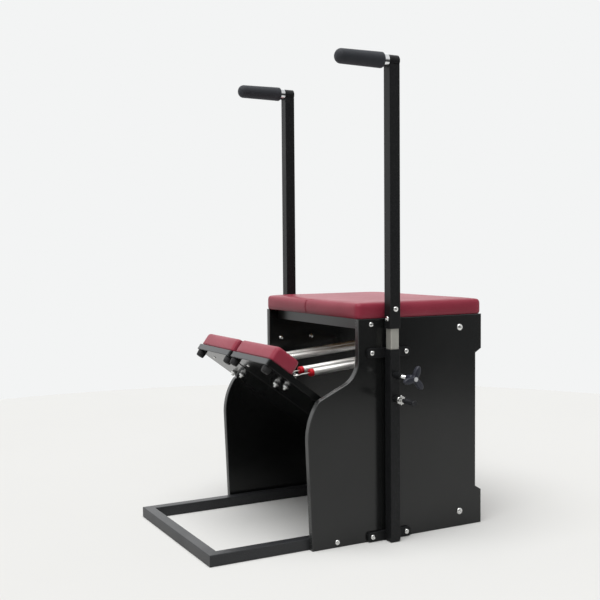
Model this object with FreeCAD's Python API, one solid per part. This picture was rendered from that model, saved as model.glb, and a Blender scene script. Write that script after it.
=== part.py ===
import FreeCAD, Part

import math
import os

# Pilates chair with two sprung pedals, a padded seat and two height-adjustable handle poles.
# Millimetres. The origin is on the floor under the middle of the chair's length and width,
# +Z is up, -Y is the front where the pedals are, and +X is the left side of someone seated.

V = FreeCAD.Vector
ACROSS = V(1, 0, 0)
BACK = V(0, 1, 0)
UP = V(0, 0, 1)
ORIGIN = V(0, 0, 0)

# Whole chair
overall_length = 832.0
chair_width = 550.0
cut_overrun = 1.0
hardware_sides = 10
slip_clearance = 0.05

# Side panels
panel_height = 600.0
panel_thickness = 18.0
panel_top_depth = 409.0
panel_belly_reach = 153.0
panel_neck_drop = 108.0
panel_neck_radius = 70.0
panel_ramp_angle = 25.0
panel_nose_angle = 55.0
panel_nose_radius = 20.0
panel_belly_radius = 170.0
panel_lean_angle = 2.3
panel_tab_depth = 20.0
panel_top_tab_height = 98.0
panel_bottom_tab_height = 96.0
panel_tab_chamfer = 12.0
panel_edge_bevel = 1.5

# Cross rails under the seat
rail_board_thickness = 18.0
front_rail_height = 30.0
front_rail_setback = 39.5
rear_rail_height = 70.0

# Floor frame
tube_size = 30.0
tube_wall = 2.0
tube_corner_radius = 2.5
rail_end_setback = 36.0
plug_head = 3.0
plug_insert = 15.0
plug_clearance = 0.1

# Seat and cushions
seat_thickness = 45.0
seat_side_inset = 3.0
seat_corner_radius = 18.0
seat_board_thickness = 12.0
seat_board_inset = 14.0
seat_board_clearance = 0.3
cushion_draw_in = 2.0
cushion_round = 9.0
cushion_level_shares = ((0.0, 0.25), (0.45, 0.0), (0.82, 0.28), (0.95, 1.0))
crown_reach_share = 0.2

# Pole sockets on the panels
socket_setback = 92.0
socket_wall = 2.2
socket_floor_gap = 3.0
socket_drop = 81.0
strap_thickness = 8.0
strap_height = 25.0
strap_corner_cut = 5.0
strap_bolt_spacing = 108.0
strap_end_margin = 14.0
strap_lower_height = 14.0
strap_upper_drop = 10.0
boss_radius = 9.0
clamp_boss_length = 31.0
pin_boss_length = 18.0

# Poles, handles and grips
pole_clearance = 0.3
pole_wall = 1.5
pole_corner_radius = 2.0
pole_below_pin = 237.0
pole_in_sleeve = 99.0
sleeve_gap = 55.0
sleeve_size = 31.5
sleeve_wall = 2.75
bar_height = 1277.0
bar_seat_depth = 10.0
saddle_radius = 16.0
bar_radius = 14.0
bar_wall = 2.5
bar_end_wall = 3.0
bar_in_grip = 120.0
collar_radius = 17.5
collar_bevel = 1.2
grip_root_radius = 21.0
grip_radius = 19.5
grip_length = 139.5
grip_standoff = 15.5
grip_nose_radius = 15.0
grip_nose_steps = 3
grip_sides = 16
grip_root_bevel = 2.0

# Clamp knobs
clamp_drop = 69.0
stud_radius = 5.0
stud_visible = 24.0
knob_stud_depth = 20.0
knob_hub_length = 27.0
knob_hub_small_radius = 8.0
knob_hub_large_radius = 11.0
knob_lobe_thickness = 13.0
knob_lobe_radius = 7.5
knob_lobe_reach = 28.5
knob_waist_radius = 22.0
knob_lobe_count = 3
knob_lobe_start = 70.0
knob_lobe_steps = 6
knob_waist_steps = 3
knob_edge_bevel = 2.5

# Pull pins
pin_drop = 132.0
pin_radius = 4.0
pin_clearance = 0.06
pin_hole_pitch = 50.0
pin_hole_steps = (-3, -2, -1, 0, 1)
pin_hole_radius = 4.5
pin_park_gap = 0.7
pin_nut_across_flats = 23.0
pin_nut_length = 10.0
pin_knob_gap = 9.0
pin_knob_length = 52.0
pin_knob_radius = 8.0
pin_knob_neck_radius = 6.0
pin_knob_neck_share = 0.25
pin_knob_belly_share = 0.65
pin_knob_bevel = 2.5
pin_knob_socket = 20.0

# Pedal axle, hinge blocks and spacers
axle_setback = 77.5
axle_height = 43.0
axle_radius = 10.0
axle_clearance = 0.06
hinge_gap = 0.3
hinge_drop = 14.0
hinge_block_width = 40.0
hinge_block_radius = 17.0
hinge_flange_length = 72.0
hinge_flange_thickness = 7.0
hinge_block_inset = 30.0
spacer_radius = 12.5

# Pedals
pedal_tilt = 36.5
pedal_reach = 738.0
pedal_tail = 25.0
pedal_inner_x = 7.0
pedal_outer_x = 238.0
pedal_board_thickness = 18.0
pedal_corner_radius = 8.0
pedal_edge_bevel = 1.5
pad_margin = 2.0
pad_length = 83.0
pad_thickness = 40.0
pad_corner_radius = 16.0
bumper_radius = 13.0
bumper_foot_radius = 11.5
bumper_height = 17.0
bumper_margin = 3.0

# Eyebolts on the pedals
spring_x = (112.0, 170.0)
eye_s = 116.0
eye_radius = 9.0
eye_wire_radius = 2.5
eye_wire_sides = 6
eye_steps = 12
eye_foot_gap = 0.5
eye_shank_radius = 4.0
eye_shank_tail = 14.0
eye_nut_across_flats = 16.0
eye_nut_height = 8.0

# Springs
wire_radius = 1.5
wire_sides = 4
coil_radius = 8.5
coil_turns = 6
coil_cap_depth = 10.0
coil_lead_radius = 3.3
hook_radius = 7.0
hook_neck_radius = 4.0
hook_sweep = 270.0
hook_clearance = 0.3
front_cap_inset = 51.0
rear_cap_inset = 38.0
cap_length = 15.0
cap_wall = 4.0
cap_rim_thickness = 1.4
cap_clearance = 0.4
cap_hole_clearance = 0.7
gap_step = 1.5

# Spring trees behind the pedals
tree_pin_drop = 108.0
tree_pin_pitch = 50.0
tree_pin_count = 2
tree_pin_radius = 4.0
tree_pin_reach = 42.0
tree_flange_radius = 7.0
tree_flange_width = 3.0
tree_post_width = 20.0
tree_post_thickness = 10.0
tree_post_tail = 20.0
tree_top_gap = 8.0

# Bolts and nuts through the panels
bolt_radius = 4.0
bolt_clearance = 0.2
bolt_head_radius = 7.0
bolt_head_height = 4.5
bolt_crown_share = 0.6
front_bolt_bite = 45.0
rail_bolt_bite = 8.0
rail_bolt_setback = 85.0
rear_bolt_radius = 5.0
rear_bolt_head_radius = 9.5
rear_bolt_head_height = 6.0
rear_bolt_bite = 40.0
cap_nut_across_flats = 13.0
cap_nut_height = 10.0
cap_nut_flat_share = 0.5
cap_nut_depth = 7.0

# Places that follow from the driving dimensions
half_width = chair_width / 2
inner_x = half_width - panel_thickness
front_y = -overall_length / 2
rear_y = overall_length / 2
panel_top_y = rear_y - panel_top_depth
belly_y = panel_top_y - panel_belly_reach
front_rail_y = panel_top_y + front_rail_setback
socket_y = panel_top_y + socket_setback
rail_bolt_y = belly_y + rail_bolt_setback
axle_y = rear_y - axle_setback
rear_rail_y = axle_y
front_bolt_z = panel_height - front_rail_height / 2
rear_bolt_z = panel_height - rear_rail_height / 2
socket_top = panel_height - socket_drop
strap_upper_z = socket_top - strap_upper_drop
clamp_height = socket_top - clamp_drop
pin_height = socket_top - pin_drop
pole_foot_height = pin_height - pole_below_pin
sleeve_foot_height = socket_top + sleeve_gap
pole_top_height = sleeve_foot_height + pole_in_sleeve
strap_ys = (socket_y - strap_bolt_spacing / 2, socket_y + strap_bolt_spacing / 2)
strap_face_x = half_width + strap_thickness
socket_x = strap_face_x + tube_size / 2
socket_outer_x = strap_face_x + tube_size
sleeve_top = bar_height - bar_seat_depth
clamp_boss_x = socket_outer_x + clamp_boss_length
pin_boss_x = socket_outer_x + pin_boss_length
knob_x = clamp_boss_x + stud_visible
pin_knob_x = pin_boss_x + pin_nut_length + pin_knob_gap
pole_size = tube_size - 2 * socket_wall - 2 * pole_clearance
pole_face_x = socket_x + pole_size / 2
pole_line = V(socket_x, socket_y, 0)
grip_y = socket_y - sleeve_size / 2 - grip_standoff
tree_y = rear_rail_y - rail_board_thickness / 2 - tree_post_thickness / 2
tree_x = sum(spring_x) / len(spring_x)
tree_pin_height = panel_height - tree_pin_drop
front_coil_inset = front_cap_inset + coil_cap_depth
rear_coil_inset = rear_cap_inset + coil_cap_depth
eye_n = pedal_board_thickness + eye_foot_gap + eye_wire_radius + eye_radius
hinge_block_xs = (pedal_inner_x + hinge_block_inset,
                  pedal_outer_x - hinge_block_inset - hinge_block_width)


class Pen:
    """Draws straight runs and tangent arcs in a plane and keeps their points in order."""

    def __init__(self, place, start, heading):
        self.place = place
        self.point = start
        self.heading = heading
        self.runs = []

    def forward(self, distance):
        """Runs straight on."""
        way = math.radians(self.heading)
        a, b = self.point
        return self.line_to((a + distance * math.cos(way), b + distance * math.sin(way)))

    def line_to(self, point):
        """Runs straight to a point and keeps the heading for what follows."""
        self.runs.append((self.place(*self.point), self.place(*point)))
        self.point = point
        return self

    def bend(self, radius, turn):
        """Turns along an arc, to the left when the turn is positive."""
        side = math.copysign(1, turn)
        start = math.radians(self.heading)
        a, b = self.point
        centre = (a - side * radius * math.sin(start), b + side * radius * math.cos(start))
        stops = []
        for share in (0.5, 1):
            way = start + math.radians(turn) * share
            stops.append((centre[0] + side * radius * math.sin(way),
                          centre[1] - side * radius * math.cos(way)))
        self.runs.append((self.place(*self.point), self.place(*stops[0]), self.place(*stops[1])))
        self.point = stops[1]
        self.heading += turn
        return self


def edge(run):
    """Returns a run of two points as a line, or of three points as an arc."""
    return (Part.LineSegment(*run) if len(run) == 2 else Part.Arc(*run)).toShape()


def wire(runs):
    """Returns runs that follow each other as one wire."""
    return Part.Wire([edge(run) for run in runs])


def backwards(runs):
    """Returns the same runs, drawn from their end to their start."""
    return [tuple(reversed(run)) for run in reversed(runs)]


def box(low, high):
    """Returns a block between its lowest and highest corners."""
    size = high - low
    return Part.makeBox(size.x, size.y, size.z, low)


def rod(start, end, radius):
    """Returns a round bar between two points."""
    return Part.makeCylinder(radius, (end - start).Length, start, end - start)


def prism(outline, travel):
    """Returns the solid that a closed outline sweeps."""
    return Part.Face(outline).extrude(travel)


def polygon(points):
    """Returns a closed outline through corner points."""
    return Part.makePolygon(list(points) + [points[0]])


def ring(middle, axis, radius, sides):
    """Returns the corners of a regular polygon round a middle point, square to an axis."""
    first = BACK if abs(axis.dot(BACK)) < 0.5 else ACROSS
    first = (first - axis * first.dot(axis)).normalize() * radius
    second = axis.cross(first)
    ways = [2 * math.pi * (count + 0.5) / sides for count in range(sides)]
    return [middle + first * math.cos(way) + second * math.sin(way) for way in ways]


def regular(middle, axis, radius, sides):
    """Returns a regular polygon round a middle point, square to an axis."""
    return polygon(ring(middle, axis, radius, sides))


def faceted(rings, endless=False):
    """Returns a solid with flat faces through rings of corners; an endless one closes on its first ring."""
    faces = [] if endless else [Part.Face(polygon(rings[0])), Part.Face(polygon(rings[-1]))]
    for low, high in zip(rings, rings[1:] + rings[:1] if endless else rings[1:]):
        for last, corner in enumerate(low, -1):
            faces.append(Part.Face(polygon([low[last], corner, high[last + 1], high[last]])))
    shell = Part.makeShell(faces)
    shell.sewShape()
    solid = Part.makeSolid(shell)
    return solid if solid.Volume > 0 else solid.reversed()


def many_sided(start, end, radius, sides=hardware_sides):
    """Returns a straight bar with a regular polygon for its section."""
    travel = end - start
    return prism(regular(start, V(travel).normalize(), radius, sides), travel)


def many_sided_bore(start, end, radius):
    """Returns a straight many-sided hole that clears a round bar of the radius."""
    return many_sided(start, end, radius / math.cos(math.pi / hardware_sides))


def stack(levels, base, axis, sides=hardware_sides):
    """Returns a many-sided turned solid through (along, radius) levels from a base point."""
    return faceted([ring(base + axis * along, axis, radius, sides) for along, radius in levels])


def square_bar(start, end, size, corner):
    """Returns a square bar with round corners, straight between two points on its middle line."""
    axis = (end - start).normalize()
    first = BACK if abs(axis.dot(BACK)) < 0.5 else ACROSS
    second = axis.cross(first)
    pen = Pen(lambda a, b: start + first * a + second * b, (corner - size / 2, -size / 2), 0)
    for count in range(4):
        pen.forward(size - 2 * corner).bend(corner, 90)
    return prism(wire(pen.runs), end - start)


def square_tube(start, end, size, wall, corner):
    """Returns a square tube with round outer corners, straight between two points."""
    over = (end - start).normalize() * cut_overrun
    bore = many_sided(start - over, end + over, (size / 2 - wall) * math.sqrt(2), 4)
    return square_bar(start, end, size, corner).cut(bore)


def bevelled(solid, size, axis):
    """Returns a plate with the rims of its two faces bevelled; the axis runs through the plate."""
    rims = [rim for rim in solid.Edges
            if abs((rim.Vertexes[0].Point - rim.Vertexes[-1].Point).dot(axis)) < size]
    return solid.makeChamfer(size, rims)


def mirrored(solid):
    """Returns the same piece for the other side of the chair."""
    return solid.mirror(ORIGIN, ACROSS)


def both(solids):
    """Returns the left side's pieces and the same pieces for the right side."""
    return list(solids) + [mirrored(solid) for solid in solids]


# Bolts through the side panels

def strap_bolts():
    """Returns the left straps' bolts as pairs of head place and length."""
    upper = strap_thickness + panel_thickness + cap_nut_depth
    lower = strap_thickness + panel_thickness + rail_bolt_bite
    return ([(V(strap_face_x, y, strap_upper_z), upper) for y in strap_ys]
            + [(V(strap_face_x, y, strap_lower_height), lower) for y in strap_ys])


def rail_bolts():
    """Returns the left panel's own bolts, into the floor rail and into the front rail."""
    return [(V(half_width, rail_bolt_y, strap_lower_height), panel_thickness + rail_bolt_bite),
            (V(half_width, front_rail_y, front_bolt_z), panel_thickness + front_bolt_bite)]


def back_bolts():
    """Returns the left panel's larger bolts, into the rear rail and into the pedal axle."""
    length = panel_thickness + rear_bolt_bite
    return [(V(half_width, axle_y, z), length) for z in (rear_bolt_z, axle_height)]


def bolt(place, length, radius, head_radius, head_height):
    """Returns a bolt with a rounded head, driven in towards the middle of the chair."""
    side = head_height * (1 - bolt_crown_share)
    head = stack(((0, head_radius), (side, head_radius), (head_height, head_radius * bolt_crown_share)),
                 place, ACROSS)
    return head.fuse(many_sided(place - ACROSS * length, place, radius))


def bolt_bore(place, length, radius):
    """Returns the hole that a bolt needs in everything behind its head."""
    tip = place - ACROSS * (length + bolt_clearance)
    return many_sided(tip, place + ACROSS * cut_overrun, radius + bolt_clearance)


def panel_bolts():
    """Returns the bolts of the straps, the floor rails and the front rail."""
    return both([bolt(place, length, bolt_radius, bolt_head_radius, bolt_head_height)
                 for place, length in strap_bolts() + rail_bolts()])


def rear_bolts():
    """Returns the larger bolts of the rear rail and the axle."""
    return both([bolt(place, length, rear_bolt_radius, rear_bolt_head_radius, rear_bolt_head_height)
                 for place, length in back_bolts()])


def cap_nuts():
    """Returns the closed nuts of the upper straps, on the panels' inner faces."""
    nuts = []
    corner = cap_nut_across_flats / math.sqrt(3)
    flat = cap_nut_height * cap_nut_flat_share
    for place, length in strap_bolts()[:2]:
        seat = V(inner_x, place.y, place.z)
        crown = stack(((flat, cap_nut_across_flats / 2), (cap_nut_height, bolt_radius)), seat, -ACROSS)
        nut = many_sided(seat, seat - ACROSS * flat, corner, 6).fuse(crown)
        depth = ACROSS * (cap_nut_depth + bolt_clearance)
        nuts.append(nut.cut(many_sided(seat, seat - depth, bolt_radius + bolt_clearance)))
    return both(nuts)


# Side panels and rails

def panel_outline():
    """Returns the side panel's outline, with its waved front edge and stepped back edge."""
    pen = Pen(lambda y, z: V(inner_x, y, z), (panel_top_y, panel_height), -90)
    pen.forward(panel_neck_drop).bend(panel_neck_radius, panel_ramp_angle - 90)
    ramp, nose = math.radians(panel_ramp_angle), math.radians(panel_nose_angle)
    nose_run = panel_nose_radius * (math.sin(nose) - math.sin(ramp))
    belly_run = panel_belly_radius * (1 - math.sin(nose))
    pen.forward((pen.point[0] - belly_y - nose_run - belly_run) / math.cos(ramp))
    pen.bend(panel_nose_radius, panel_nose_angle - panel_ramp_angle)
    pen.bend(panel_belly_radius, 90 + panel_lean_angle - panel_nose_angle)
    pen.forward(pen.point[1] / math.cos(math.radians(panel_lean_angle)))
    step_y = rear_y - panel_tab_depth
    low_tab, high_tab = panel_bottom_tab_height, panel_height - panel_top_tab_height
    for corner in ((rear_y, 0), (rear_y, low_tab), (step_y, low_tab + panel_tab_chamfer),
                   (step_y, high_tab - panel_tab_chamfer), (rear_y, high_tab),
                   (rear_y, panel_height), (panel_top_y, panel_height)):
        pen.line_to(corner)
    return wire(pen.runs)


def side_panel():
    """Returns the left side panel, bevelled along its edges and bored for its bolts."""
    panel = bevelled(prism(panel_outline(), ACROSS * panel_thickness), panel_edge_bevel, ACROSS)
    for place, length in strap_bolts() + rail_bolts():
        panel = panel.cut(bolt_bore(place, length, bolt_radius))
    for place, length in back_bolts():
        panel = panel.cut(bolt_bore(place, length, rear_bolt_radius))
    return panel


def cross_rail(y, height, bore):
    """Returns a board between the panels, bored at both ends for its bolts."""
    half = rail_board_thickness / 2
    board = box(V(-inner_x, y - half, panel_height - height), V(inner_x, y + half, panel_height))
    return board.cut(bore).cut(mirrored(bore))


def front_rail():
    """Returns the rail under the front of the seat."""
    place, length = rail_bolts()[1]
    return cross_rail(front_rail_y, front_rail_height, bolt_bore(place, length, bolt_radius))


def rear_rail():
    """Returns the taller rail under the back of the seat, which carries the spring trees."""
    place, length = back_bolts()[0]
    return cross_rail(rear_rail_y, rear_rail_height, bolt_bore(place, length, rear_bolt_radius))


# Floor frame

def floor_tube(start, end):
    """Returns a square tube that lies on the floor between two points of the plan."""
    rise = UP * (tube_size / 2)
    return square_tube(start + rise, end + rise, tube_size, tube_wall, tube_corner_radius)


def mitre(corners):
    """Returns the wedge that a tube loses at the left front corner."""
    outline = polygon([V(x, y, -cut_overrun) for x, y in corners])
    return prism(outline, UP * (tube_size + 2 * cut_overrun))


def base_front_bar():
    """Returns the front bar, mitred at both corners."""
    middle = front_y + tube_size / 2
    bar = floor_tube(V(-inner_x, middle, 0), V(inner_x, middle, 0))
    back = front_y + tube_size
    wedge = mitre(((inner_x, front_y), (inner_x, back), (inner_x - tube_size, back)))
    return bar.cut(wedge).cut(mirrored(wedge))


def base_rail():
    """Returns the left floor rail, mitred at the front and bored for the panel's bolts."""
    inside = inner_x - tube_size
    middle = inner_x - tube_size / 2
    rail = floor_tube(V(middle, front_y, 0), V(middle, rear_y - rail_end_setback, 0))
    rail = rail.cut(mitre(((inner_x, front_y), (inside, front_y), (inside, front_y + tube_size))))
    for place, length in strap_bolts()[2:] + rail_bolts()[:1]:
        rail = rail.cut(bolt_bore(place, length, bolt_radius))
    return rail


def rail_plug():
    """Returns the plug that closes the back end of the left floor rail."""
    end = rear_y - rail_end_setback
    edge_x, edge_z = inner_x - tube_size, tube_size
    inset = tube_wall + plug_clearance
    head = box(V(edge_x, end, 0), V(inner_x, end + plug_head, edge_z))
    insert = box(V(edge_x + inset, end - plug_insert, inset), V(inner_x - inset, end, edge_z - inset))
    return head.fuse(insert)


# Seat and cushions

def cushion_section(low, high, corner, inset, z):
    """Returns a level outline of a cushion: round corners and sides that draw in between them."""
    x0, x1, y0, y1 = low.x + inset, high.x - inset, low.y + inset, high.y - inset
    halves = (((x0, y0), 180), ((x1, y0), 270), ((x1, y1), 0), ((x0, y1), 90))
    arcs = []
    for (x, y), start in halves:
        inward = V(x0 + x1 - 2 * x, y0 + y1 - 2 * y, 0)
        centre = V(x + math.copysign(corner, inward.x), y + math.copysign(corner, inward.y), z)
        ways = [math.radians(start + step) for step in (0, 45, 90)]
        arcs.append([centre + V(corner * math.cos(way), corner * math.sin(way), 0) for way in ways])
    middle = V((x0 + x1) / 2, (y0 + y1) / 2, z)
    runs = []
    for count, arc in enumerate(arcs):
        start, end = arc[2], arcs[(count + 1) % len(arcs)][0]
        waist = (start + end) * 0.5
        waist += (middle - waist).normalize() * cushion_draw_in
        runs += [tuple(arc), (start, waist, end)]
    return wire(runs)


def cushion(low, high, corner):
    """Returns an upholstered pad: sides that swell at the waist, a soft edge and a crowned top."""
    height = high.z - low.z
    reach = min(high.x - low.x, high.y - low.y) * crown_reach_share
    levels = [(height * up, cushion_round * inset) for up, inset in cushion_level_shares]
    levels.append((height, reach))
    sections = [cushion_section(low, high, corner, inset, low.z + z) for z, inset in levels]
    return Part.makeLoft(sections, True, True)


def seat_corners():
    """Returns the seat cushion's lowest and highest corners."""
    side = half_width - seat_side_inset
    return V(-side, panel_top_y, panel_height), V(side, rear_y, panel_height + seat_thickness)


def seat_block(spare, drop):
    """Returns the board in the cushion's underside, or with spare room the pocket that takes it."""
    low, high = seat_corners()
    inset = V(seat_board_inset - spare, seat_board_inset - spare, 0)
    return box(low + inset - UP * drop, V(high.x, high.y, low.z + seat_board_thickness + spare) - inset)


def seat_board():
    """Returns the board that the seat's foam lies on."""
    return seat_block(0, 0)


def seat_cushion():
    """Returns the seat cushion with the pocket that takes its board."""
    return cushion(*seat_corners(), seat_corner_radius).cut(seat_block(seat_board_clearance, cut_overrun))


# Pole sockets, poles and handles

def strap(z):
    """Returns a flat strap across the left socket's back, with its corners cut."""
    reach = strap_bolt_spacing / 2 + strap_end_margin
    half = strap_height / 2
    plate = box(V(half_width, socket_y - reach, z - half), V(strap_face_x, socket_y + reach, z + half))
    ends = [rim for rim in plate.Edges if abs(rim.Vertexes[0].X - rim.Vertexes[-1].X) > strap_thickness / 2]
    return plate.makeChamfer(strap_corner_cut, ends)


def socket():
    """Returns the left socket: a square tube welded to two straps, with bosses for the knob and the pin."""
    foot, top = pole_line + UP * socket_floor_gap, pole_line + UP * socket_top
    body = square_tube(foot, top, tube_size, socket_wall, tube_corner_radius)
    for z in (strap_lower_height, strap_upper_z):
        body = body.fuse(strap(z))
    bosses = ((clamp_height, stud_radius, clamp_boss_x), (pin_height, pin_radius, pin_boss_x))
    for z, radius, end_x in bosses:
        face, end = V(socket_outer_x, socket_y, z), V(end_x, socket_y, z)
        inside = face - ACROSS * (socket_wall + cut_overrun)
        body = body.fuse(many_sided(face, end, boss_radius))
        body = body.cut(many_sided_bore(inside, end + ACROSS * cut_overrun, radius + pin_clearance))
    for place, length in strap_bolts():
        body = body.cut(bolt_bore(place, length, bolt_radius))
    return body


def pin_nut():
    """Returns the bright lock nut on the end of the left pull pin's boss."""
    start = V(pin_boss_x, socket_y, pin_height)
    end = start + ACROSS * pin_nut_length
    nut = many_sided(start, end, pin_nut_across_flats / math.sqrt(3), 6)
    return nut.cut(many_sided_bore(start, end, pin_radius + pin_clearance))


def pole_tube():
    """Returns the left pole's inner tube with its row of height holes."""
    foot, top = pole_line + UP * pole_foot_height, pole_line + UP * pole_top_height
    tube = square_tube(foot, top, pole_size, pole_wall, pole_corner_radius)
    for step in pin_hole_steps:
        face = V(pole_face_x, socket_y, pin_height + step * pin_hole_pitch)
        inside = face - ACROSS * (pole_wall + cut_overrun)
        tube = tube.cut(many_sided_bore(inside, face + ACROSS * cut_overrun, pin_hole_radius))
    return tube


def pole_sleeve():
    """Returns the left pole's outer sleeve with the round saddle on its top that holds the handle bar."""
    foot, top = pole_line + UP * sleeve_foot_height, pole_line + UP * sleeve_top
    sleeve = square_tube(foot, top, sleeve_size, sleeve_wall, tube_corner_radius)
    half, over = BACK * (sleeve_size / 2), BACK * cut_overrun
    middle = pole_line + UP * bar_height
    saddle = rod(middle - half, middle + half, saddle_radius)
    bore = rod(middle - half - over, middle + half + over, bar_radius + slip_clearance)
    return sleeve.fuse(saddle).cut(bore)


def handle_bar():
    """Returns the left handle's tube, which lies on the sleeve and runs forward into the grip."""
    middle = pole_line + UP * bar_height
    rear = middle + BACK * (sleeve_size / 2)
    front = V(middle.x, grip_y - bar_in_grip, middle.z)
    return rod(front, rear, bar_radius).cut(rod(front, rear - BACK * bar_end_wall, bar_radius - bar_wall))


def handle_collar():
    """Returns the left bright collar between the grip and the saddle."""
    root = V(socket_x, grip_y, bar_height)
    levels = ((0, collar_radius - collar_bevel), (collar_bevel, collar_radius),
              (grip_standoff - collar_bevel, collar_radius), (grip_standoff, collar_radius - collar_bevel))
    bore = many_sided_bore(root, root + BACK * grip_standoff, bar_radius + slip_clearance)
    return stack(levels, root, BACK, grip_sides).cut(bore)


def handle_grip():
    """Returns the left foam grip: a thick, slightly tapered sleeve with a rounded, closed front end."""
    levels = [(0, grip_root_radius - grip_root_bevel), (grip_root_bevel, grip_root_radius)]
    for step in range(grip_nose_steps + 1):
        way = math.radians(90 * step / grip_nose_steps)
        levels.append((grip_length - grip_nose_radius * (1 - math.sin(way)),
                       grip_radius - grip_nose_radius * (1 - math.cos(way))))
    root = V(socket_x, grip_y, bar_height)
    end = root - BACK * (bar_in_grip + slip_clearance)
    bore = many_sided_bore(root, end, bar_radius + slip_clearance)
    return stack(levels, root, -BACK, grip_sides).cut(bore)


# Clamp knobs and pull pins

def knob_corners(centre):
    """Returns the corners of the clamp knob's outline: round lobes joined by hollow waists."""
    span = math.pi / knob_lobe_count
    touch = knob_lobe_radius + knob_waist_radius
    lean = knob_lobe_reach * math.sin(span)
    waist_reach = knob_lobe_reach * math.cos(span) + math.sqrt(touch * touch - lean * lean)

    def at(reach, way):
        return centre + V(0, reach * math.cos(way), reach * math.sin(way))

    corners = []
    for count in range(knob_lobe_count):
        way = math.radians(knob_lobe_start) + 2 * span * count
        lobe = at(knob_lobe_reach, way)
        joins = []
        for side in (-span, span):
            waist = at(waist_reach, way + side)
            joins.append(lobe + (waist - lobe) * (knob_lobe_radius / touch))
        following = at(knob_lobe_reach, way + 2 * span)
        waist = at(waist_reach, way + span)
        last = following + (waist - following) * (knob_lobe_radius / touch)
        tip = edge((joins[0], at(knob_lobe_reach + knob_lobe_radius, way), joins[1]))
        hollow = edge((joins[1], at(waist_reach - knob_waist_radius, way + span), last))
        corners += tip.discretize(knob_lobe_steps + 1)[:-1] + hollow.discretize(knob_waist_steps + 1)[:-1]
    return corners


def clamp_knob():
    """Returns the left clamp knob: a tapered hub under a head of round lobes."""
    start = V(knob_x, socket_y, clamp_height)
    face = start + ACROSS * knob_hub_length
    hub = stack(((0, knob_hub_small_radius), (knob_hub_length, knob_hub_large_radius)), start, ACROSS)
    corners = knob_corners(face)
    levels = ((0, knob_edge_bevel), (knob_edge_bevel, 0),
              (knob_lobe_thickness - knob_edge_bevel, 0), (knob_lobe_thickness, knob_edge_bevel))
    rings = []
    for along, inset in levels:
        scale = 1 - inset / (knob_lobe_reach + knob_lobe_radius)
        rings.append([face + (corner - face) * scale + ACROSS * along for corner in corners])
    bore = many_sided_bore(start, start + ACROSS * knob_stud_depth, stud_radius + slip_clearance)
    return hub.fuse(faceted(rings)).cut(bore)


def clamp_stud():
    """Returns the left clamp knob's stud, which presses on the pole."""
    return rod(V(pole_face_x + pole_clearance, socket_y, clamp_height),
               V(knob_x + knob_stud_depth - slip_clearance, socket_y, clamp_height), stud_radius)


def pin_plunger():
    """Returns the left pull pin's plunger, drawn back clear of the pole."""
    return rod(V(pole_face_x + pin_park_gap, socket_y, pin_height),
               V(pin_knob_x + pin_knob_socket - slip_clearance, socket_y, pin_height), pin_radius)


def pin_knob():
    """Returns the left pull pin's slim knob."""
    levels = ((0, pin_knob_radius - pin_knob_bevel),
              (pin_knob_length * pin_knob_neck_share, pin_knob_neck_radius),
              (pin_knob_length * pin_knob_belly_share, pin_knob_radius),
              (pin_knob_length - pin_knob_bevel, pin_knob_radius),
              (pin_knob_length, pin_knob_radius - pin_knob_bevel))
    start = V(pin_knob_x, socket_y, pin_height)
    bore = many_sided_bore(start, start + ACROSS * pin_knob_socket, pin_radius + slip_clearance)
    return stack(levels, start, ACROSS).cut(bore)


# Pedal axle and spacers

def pedal_axle():
    """Returns the bar that both pedals turn on, bored at its ends for the bolts."""
    end = V(inner_x, axle_y, axle_height)
    place, length = back_bolts()[1]
    bore = bolt_bore(place, length, rear_bolt_radius)
    return rod(end - ACROSS * (2 * inner_x), end, axle_radius).cut(bore).cut(mirrored(bore))


def axle_spacers():
    """Returns the tubes on the axle that keep the pedals apart and away from the panels."""
    middle = hinge_block_xs[0] - hinge_gap
    outer = hinge_block_xs[1] + hinge_block_width + hinge_gap
    spans = ((-middle, middle), (outer, inner_x), (-inner_x, -outer))
    rings = []
    for low, high in spans:
        start, end = V(low, axle_y, axle_height), V(high, axle_y, axle_height)
        bore = many_sided_bore(start, end, axle_radius + slip_clearance)
        rings.append(many_sided(start, end, spacer_radius).cut(bore))
    return rings


# Pedals, drawn flat from the board's front lower edge and then put in their place

def pedal_place():
    """Returns the placement of the left pedal at rest, raised by its springs."""
    turn = FreeCAD.Rotation(ACROSS, -pedal_tilt)
    hinge = turn.multVec(V(0, pedal_reach, -hinge_drop))
    return FreeCAD.Placement(V(0, axle_y, axle_height) - hinge, turn)


def on_pedal(solids):
    """Returns flat-drawn pieces of the left pedal in their place at rest."""
    placed = [solid.copy() for solid in solids]
    for solid in placed:
        solid.Placement = pedal_place().multiply(solid.Placement)
    return placed


def pedal_board():
    """Returns the pedal's board with round front corners and holes for the eyebolts."""
    length = pedal_reach + pedal_tail
    pen = Pen(lambda x, s: V(x, s, 0), (pedal_inner_x, length), -90)
    pen.forward(length - pedal_corner_radius).bend(pedal_corner_radius, 90)
    pen.forward(pedal_outer_x - pedal_inner_x - 2 * pedal_corner_radius).bend(pedal_corner_radius, 90)
    pen.forward(length - pedal_corner_radius).line_to((pedal_inner_x, length))
    board = bevelled(prism(wire(pen.runs), UP * pedal_board_thickness), pedal_edge_bevel, UP)
    for x in spring_x:
        low, high = V(x, eye_s, -cut_overrun), V(x, eye_s, pedal_board_thickness + cut_overrun)
        board = board.cut(many_sided(low, high, eye_shank_radius + bolt_clearance))
    return board


def pedal_pad():
    """Returns the pad on the pedal's front end."""
    low = V(pedal_inner_x + pad_margin, pad_margin, pedal_board_thickness)
    high = V(pedal_outer_x - pad_margin, pad_margin + pad_length, pedal_board_thickness + pad_thickness)
    return cushion(low, high, pad_corner_radius)


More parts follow.
